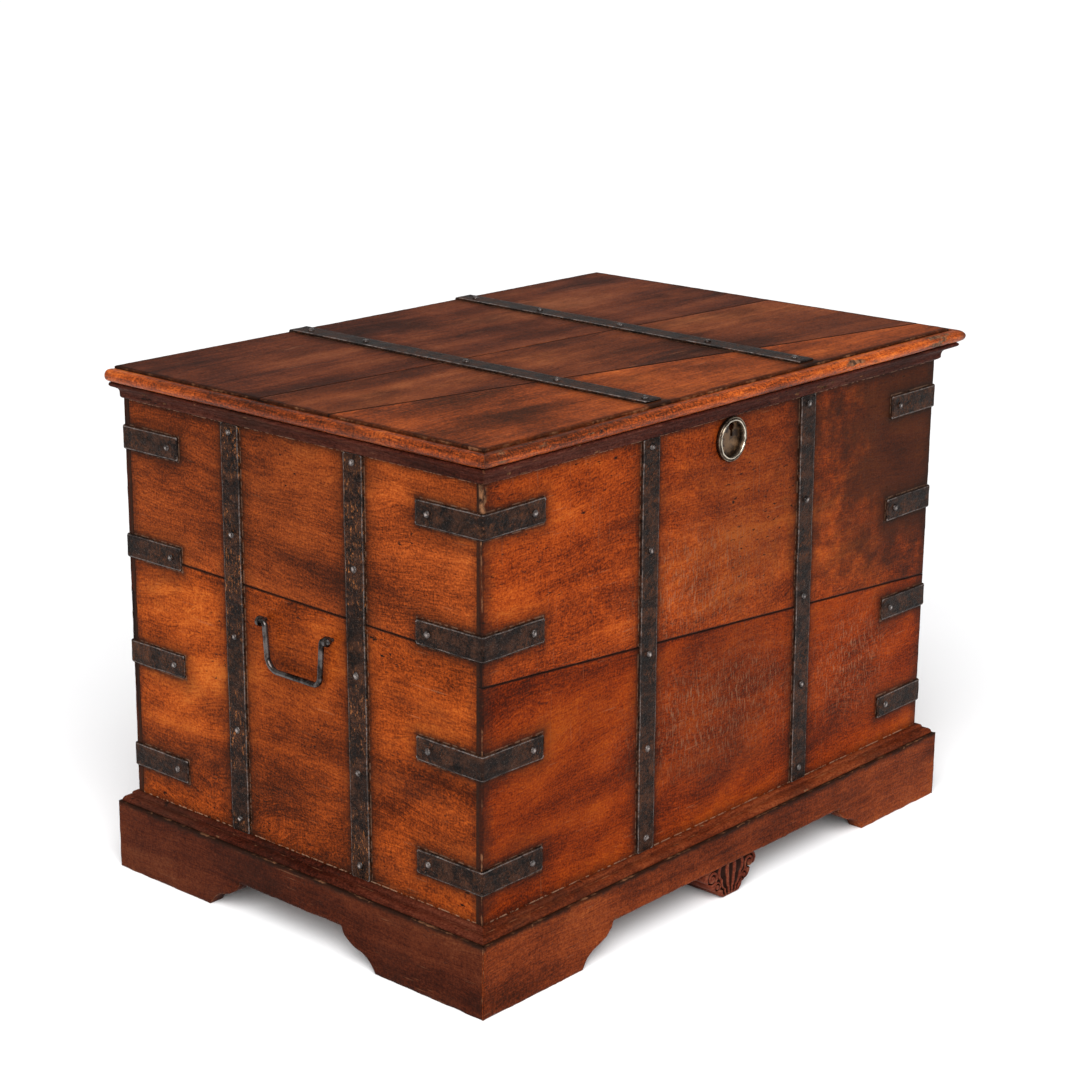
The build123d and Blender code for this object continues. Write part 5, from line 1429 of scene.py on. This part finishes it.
def ring_strip(m, prof, x0, x1, edge=0.5, steps=3):
    """Extrudes a closed outline (y, z) along X between x0 and x1."""
    prof = np.array(prof)
    n = len(prof)
    xs = np.linspace(x0, x1, steps + 1)
    v = np.vstack([np.stack([np.full(n, x), prof[:, 0], prof[:, 1]], -1) for x in xs])
    f = grid_faces(steps + 1, n, wrap=True)
    f += [list(range(n))[::-1], [steps * n + i for i in range(n)]]
    area = 0.5 * np.sum(prof[:, 0] * np.roll(prof[:, 1], -1) - np.roll(prof[:, 0], -1) * prof[:, 1])
    if area < 0:
        f = [q[::-1] for q in f]
    m.add(v, f, [True] * (len(f) - 2) + [False, False], edge=edge)


hp = islands("hinge_pins")
HY = (hp[0][0][1] + hp[0][1][1]) / 2
HZ = (hp[0][0][2] + hp[0][1][2]) / 2


def eye_profile(up):
    """Rolled eye: leaf on the wood side, wrapped round the pin."""
    Ro, Ri = 0.0064, 0.0031
    y0 = LB
    out = []
    sgn = 1 if up else -1
    zt = HZ + sgn * 0.0105
    # the outer line runs down the leaf's back face and round; the inner line returns
    a0 = math.asin(min(1.0, 0.0))
    ang = np.linspace(math.radians(178), math.radians(-150), 30)
    outer = [(HY + Ro * math.cos(t) * 1.0, HZ + sgn * -1 * Ro * math.sin(-t)) for t in ang]
    inner = [(HY + Ri * math.cos(t), HZ + sgn * -1 * Ri * math.sin(-t)) for t in ang[::-1]]
    return [(y0 + 0.0002, zt), (y0 + 0.0002, HZ + sgn * 0.0025)] + outer + inner + [(y0 + 0.003, HZ + sgn * 0.0045), (y0 + 0.003, zt)]


for i, n in enumerate(ls):
    xf, xb, yf, yb = ls[n]
    m = Mesh()
    # top leaf, then over the back edge and down
    top = line_pts((xf, yf, LZ1), (xb, yb - 0.0005, LZ1), 0.006)
    nn = [np.array([0, 0, 1.0])] * len(top)
    pts = list(top)
    for t in np.linspace(0.15, 1.0, 6):
        q = t * math.pi / 2
        pts.append(np.array([xb, yb - 0.0005 + 0.0005 * math.sin(q), LZ1 - 0.0005 + 0.0005 * math.cos(q)]))
        nn.append(np.array([0, math.sin(q), math.cos(q)]))
    for z in (LZ1 - 0.004, LZ1 - 0.008, HZ + 0.0095, HZ + 0.0085, HZ + 0.008):
        pts.append(np.array([xb, yb, z]))
        nn.append(np.array([0, 1.0, 0]))
    bar_mesh(m, pts, nn, np.array([1.0, 0, 0]), H2 - 0.0004, ST, seed=120 + i)
    ring_strip(m, eye_profile(True), xb - 0.0063, xb + 0.0063, edge=0.5, steps=4)
    m.build(n + "_v", body="lid", slot="forged_iron", mat=M["iron_lid"], replaces=[n])
for i, n in enumerate(hs):
    x, _, z0, z1 = hs[n]
    m = Mesh()
    pts = line_pts((x, CB, z0), (x, CB, z1), 0.006)
    bar_mesh(m, pts, np.repeat(np.array([[0, 1.0, 0]]), len(pts), 0), np.array([1.0, 0, 0]), H2 - 0.0004, ST, seed=124 + i)
    lo, hi = B(n)
    for k in (-1, 1):
        c = x + k * 0.0117
        ring_strip(m, eye_profile(False), c - 0.0048, c + 0.0048, edge=0.5, steps=4)
    m.build(n + "_v", body="chest", slot="forged_iron", mat=M["iron"], replaces=[n])

for ci, (c, solids) in enumerate(brk.items()):
    cx = -1 if "left" in c else 1
    cy = -1 if "front" in c else 1
    fx, fy = cx * CX, (CF if cy < 0 else CB)
    m = Mesh()
    for k, (lo, hi) in enumerate(solids):
        zc = (lo[2] + hi[2]) / 2
        rg = np.random.RandomState(200 + ci * 10 + k)
        tw = rg.uniform(-0.0010, 0.0010, 2)
        a1 = line_pts((fx - cx * ARM, fy, zc + tw[0]), (fx - cx * 0.001, fy, zc), 0.005, (0.0006, 0.0014, 0.0028))
        a2 = line_pts((fx, fy - cy * 0.001, zc), (fx, fy - cy * ARM, zc + tw[1]), 0.005, (0.0006, 0.0014, 0.0028))
        pts = list(a1)
        nn = [np.array([0, cy * 1.0, 0])] * len(a1)
        for t in np.linspace(0.0, 1.0, 7):
            q = t * math.pi / 2
            r0 = 0.0006
            pts.append(np.array([fx - cx * r0 + cx * r0 * math.sin(q), fy - cy * r0 + cy * r0 * math.cos(q), zc]))
            nn.append(np.array([cx * math.sin(q), cy * math.cos(q), 0]))
        pts += list(a2)
        nn += [np.array([cx * 1.0, 0, 0])] * len(a2)
        bar_mesh(m, pts, nn, np.array([0, 0, 1.0]), BRH - 0.0003, ST, seed=140 + ci * 10 + k, wob=0.0006)
    m.build("corner_brackets_" + c + "_v", body="chest", slot="forged_iron", mat=M["iron"],
            replaces=["corner_brackets_" + c])

HR = 0.005
for fi, (face, axis, sgn) in enumerate((("front", 1, -1), ("back", 1, 1), ("left", 0, -1), ("right", 0, 1), ("lid", 2, 1))):
    m = Mesh()
    surf = {"front": CF - ST, "back": CB + ST, "left": -CX - ST, "right": CX + ST, "lid": LZ1 + ST}[face]
    for k, (lo, hi) in enumerate(islands("nails_" + face)):
        c = (lo + hi) / 2
        c[axis] = surf - sgn * 0.0001
        nrm = np.zeros(3)
        nrm[axis] = sgn
        hh = abs((hi[axis] if sgn > 0 else lo[axis]) - surf)
        rg = np.random.RandomState(300 + fi * 40 + k)
        dome_mesh(m, c, nrm, HR * rg.uniform(0.86, 1.0), hh * rg.uniform(0.82, 0.98), 400 + fi * 50 + k)
    m.build("nails_" + face + "_v", body=NODE_BODY["nails_" + face], slot="forged_iron", mat=M["nail"],
            replaces=["nails_" + face])


def fillet_path(pts, radii, step=0.0025):
    """Polyline with its corners rounded."""
    pts = [np.asarray(p, float) for p in pts]
    out = [pts[0]]
    for i in range(1, len(pts) - 1):
        a, b, c = pts[i - 1], pts[i], pts[i + 1]
        u, v = (a - b) / np.linalg.norm(a - b), (c - b) / np.linalg.norm(c - b)
        ang = math.acos(np.clip(u @ v, -1, 1))
        r = radii[i - 1]
        d = r / math.tan(ang / 2)
        p, q = b + u * d, b + v * d
        cen = b + (u + v) / np.linalg.norm(u + v) * (r / math.sin(ang / 2))
        n = max(6, int(r * (math.pi - ang) / 0.0012))
        w0, w1 = p - cen, q - cen
        th = math.acos(np.clip(w0 @ w1 / (r * r), -1, 1))
        for t in np.linspace(0, 1, n + 1):
            w = (math.sin((1 - t) * th) * w0 + math.sin(t * th) * w1) / math.sin(th)
            out.append(cen + w)
    out.append(pts[-1])
    res = [out[0]]
    for p in out[1:]:
        L = np.linalg.norm(p - res[-1])
        if L < 1e-6:
            continue
        n = max(1, int(round(L / step)))
        s = res[-1]
        for i in range(1, n + 1):
            res.append(s + (p - s) * i / n)
    return np.array(res)


for side in ("left", "right"):
    lo, hi = B("bail_" + side)
    R = (hi[0] - lo[0]) / 2
    px = (lo[0] + hi[0]) / 2
    y0, y1 = lo[1], hi[1]
    my = (y0 + y1) / 2
    zt, zb = hi[2] - R, lo[2] + R
    half = (y1 - y0) / 2 - 0.016
    pts = fillet_path([(px, y0, zt), (px, my - half, zt), (px, my - half + 0.005, zb), (px, my + half - 0.005, zb),
                       (px, my + half, zt), (px, y1, zt)], [0.005, 0.012, 0.020, 0.005])
    m = Mesh()
    tube_mesh(m, pts, R - 0.00002, na=24, seed=500, amp=0.0002)
    m.build("bail_%s_v" % side, body="bail_" + side, slot="forged_iron", mat=M["iron_bail"], replaces=["bail_" + side])


# escutcheon: ring turned about the lock's axis, with a hammered inner ridge
def build_escutcheon():
    d0 = CF - ecz[0][1]
    k = ER / 0.030
    prof = [(24.4, -3.0), (24.4, 5.4), (24.7, 6.2), (25.3, 6.5), (26.0, 6.2), (26.5, 5.5), (27.0, 4.6), (27.5, 4.3),
            (28.0, 4.7), (28.4, 5.05), (28.9, 5.15), (29.3, 4.9), (29.6, 4.2), (29.8, 2.4), (30.0, 0.0), (26.45, 0.0), (26.45, -3.0)]
    flag = [0.3, 0.8, 1.0, 1.0, 0.8, 0.3, 0.0, 0.0, 0.1, 0.45, 0.6, 0.5, 0.3, 0.1, 0.0, 0.0, 0.0]
    prof = np.array(prof) / 1000
    na = 96
    ang = np.linspace(0, 2 * math.pi, na, endpoint=False)
    v, e = [], []
    for j, t in enumerate(ang):
        wv = 0.00045 * math.sin(7 * t + 0.6) + 0.0003 * math.sin(13 * t + 2)
        for (r, h), fl in zip(prof, flag):
            rr = r + (wv * (0.4 if 0.0245 < r < 0.0272 and h > 0.004 else 0))
            hh = h - (abs(wv) * 0.9 if 0.0245 < r < 0.0268 and h > 0.004 else 0)
            v.append((EC[0] + rr * k * math.cos(t), CF - hh, EC[1] + rr * k * math.sin(t)))
            e.append(fl)
    n = len(prof)
    f = []
    for j in range(na):
        a, b = j * n, ((j + 1) % na) * n
        for i in range(n):
            i2 = (i + 1) % n
            f.append([a + i, a + i2, b + i2, b + i])
    m = Mesh()
    m.add(v, f, True, edge=e)
    return m.build("escutcheon_v", body="chest", slot="old_brass", mat=M["brass"], replaces=["escutcheon"])


build_escutcheon()

# carried-over CAD nodes
CARRY = {"keyhole_plate": "brass_dark", "bottom_board_front": "inside_x", "bottom_board_middle": "inside_x",
         "bottom_board_back": "inside_x", "bottom_bearers": "inside_y", "plinth_corner_blocks": "inside_y",
         "hinge_pins": "iron", "bail_staples_left": "iron_bail", "bail_staples_right": "iron_bail",
         "lock_case": "iron", "lock_bolt": "iron", "lock_catch": "iron"}
for n, k in CARRY.items():
    o = NODES[n]
    o.data.materials.clear()
    o.data.materials.append(M[k])
    if n not in ("bottom_board_front", "bottom_board_middle", "bottom_board_back", "keyhole_plate"):
        bv = o.modifiers.new("soft_edges", "BEVEL")
        bv.width = 0.0004
        bv.segments = 2
        bv.limit_method = "ANGLE"
        bv.angle_limit = math.radians(50)
        bv.use_clamp_overlap = True

# ---------------------------------------------------------------------------
# floor, light and camera
# ---------------------------------------------------------------------------


def flat_mat(name, col, rough=0.9):
    t = Tree(name)
    n = t.noise(t.co, 3.0, 2.0, 0.5)
    c = t.mix(n.step(0.3, 0.7), tuple(x * 0.99 for x in col[:3]) + (1,), col)
    return t.finish(c, rough, spec=0.1)


fm = bpy.data.meshes.new("floor")
S_ = 90.0
fm.from_pydata([(-S_, -S_, 0), (S_, -S_, 0), (S_, S_, 0), (-S_, S_, 0)], [], [[0, 1, 2, 3]])
floor = bpy.data.objects.new("floor", fm)
floor.location = (0, 0, -0.0002)
SCENE.collection.objects.link(floor)
fm.materials.append(flat_mat("floor_white", (0.92, 0.92, 0.925, 1)))

world = bpy.data.worlds.new("studio")
SCENE.world = world
world.use_nodes = True
wn = world.node_tree
wn.nodes.clear()
wo = wn.nodes.new("ShaderNodeOutputWorld")
wb = wn.nodes.new("ShaderNodeBackground")
wb.inputs[0].default_value = (1.0, 1.0, 1.0, 1)
wb.inputs[1].default_value = 0.30
wn.links.new(wb.outputs[0], wo.inputs[0])


def area(name, loc, target, size, power, col=(1, 1, 1), size_y=None):
    l = bpy.data.lights.new(name, "AREA")
    l.energy = power
    l.color = col
    l.shape = "RECTANGLE"
    l.size = size
    l.size_y = size_y or size
    o = bpy.data.objects.new(name, l)
    o.location = loc
    o.rotation_mode = "QUATERNION"
    o.rotation_quaternion = (Vector(target) - Vector(loc)).to_track_quat("-Z", "Y")
    SCENE.collection.objects.link(o)
    return o


sun = bpy.data.lights.new("soft_key", "SUN")
sun.energy = 4.3
sun.angle = math.radians(55)
so = bpy.data.objects.new("soft_key", sun)
so.rotation_mode = "QUATERNION"
so.rotation_quaternion = Vector((0.78, 0.66, -0.88)).to_track_quat("-Z", "Y")
SCENE.collection.objects.link(so)
area("near_left", (-1.9, -2.1, 1.9), (-0.3, -0.2, 0.35), 1.4, 22)

# the camera: location and turn of the photographed view
yc = PC
az, el, roll = math.radians(-48.631), math.radians(16.241), math.radians(0.494)
back = Vector((math.sin(az) * math.cos(el), -math.cos(az) * math.cos(el), math.sin(el)))
fwd = -back
right = fwd.cross(Vector((0, 0, 1))).normalized()
up = right.cross(fwd)
r2 = math.cos(roll) * right + math.sin(roll) * up
u2 = -math.sin(roll) * right + math.cos(roll) * up
cam_data = bpy.data.cameras.new("cam")
cam_data.lens = 81.60
cam_data.sensor_width = 36.0
cam_data.clip_start = 0.05
cam_data.clip_end = 60
cam = bpy.data.objects.new("cam", cam_data)
loc = Vector((-0.0115, yc, 0.4381)) + back * 3.4295
rot = Matrix((r2, u2, back)).transposed()
cam.matrix_world = Matrix.Translation(loc) @ rot.to_4x4()
SCENE.collection.objects.link(cam)
SCENE.camera = cam
SCENE.view_settings.view_transform = "Standard"
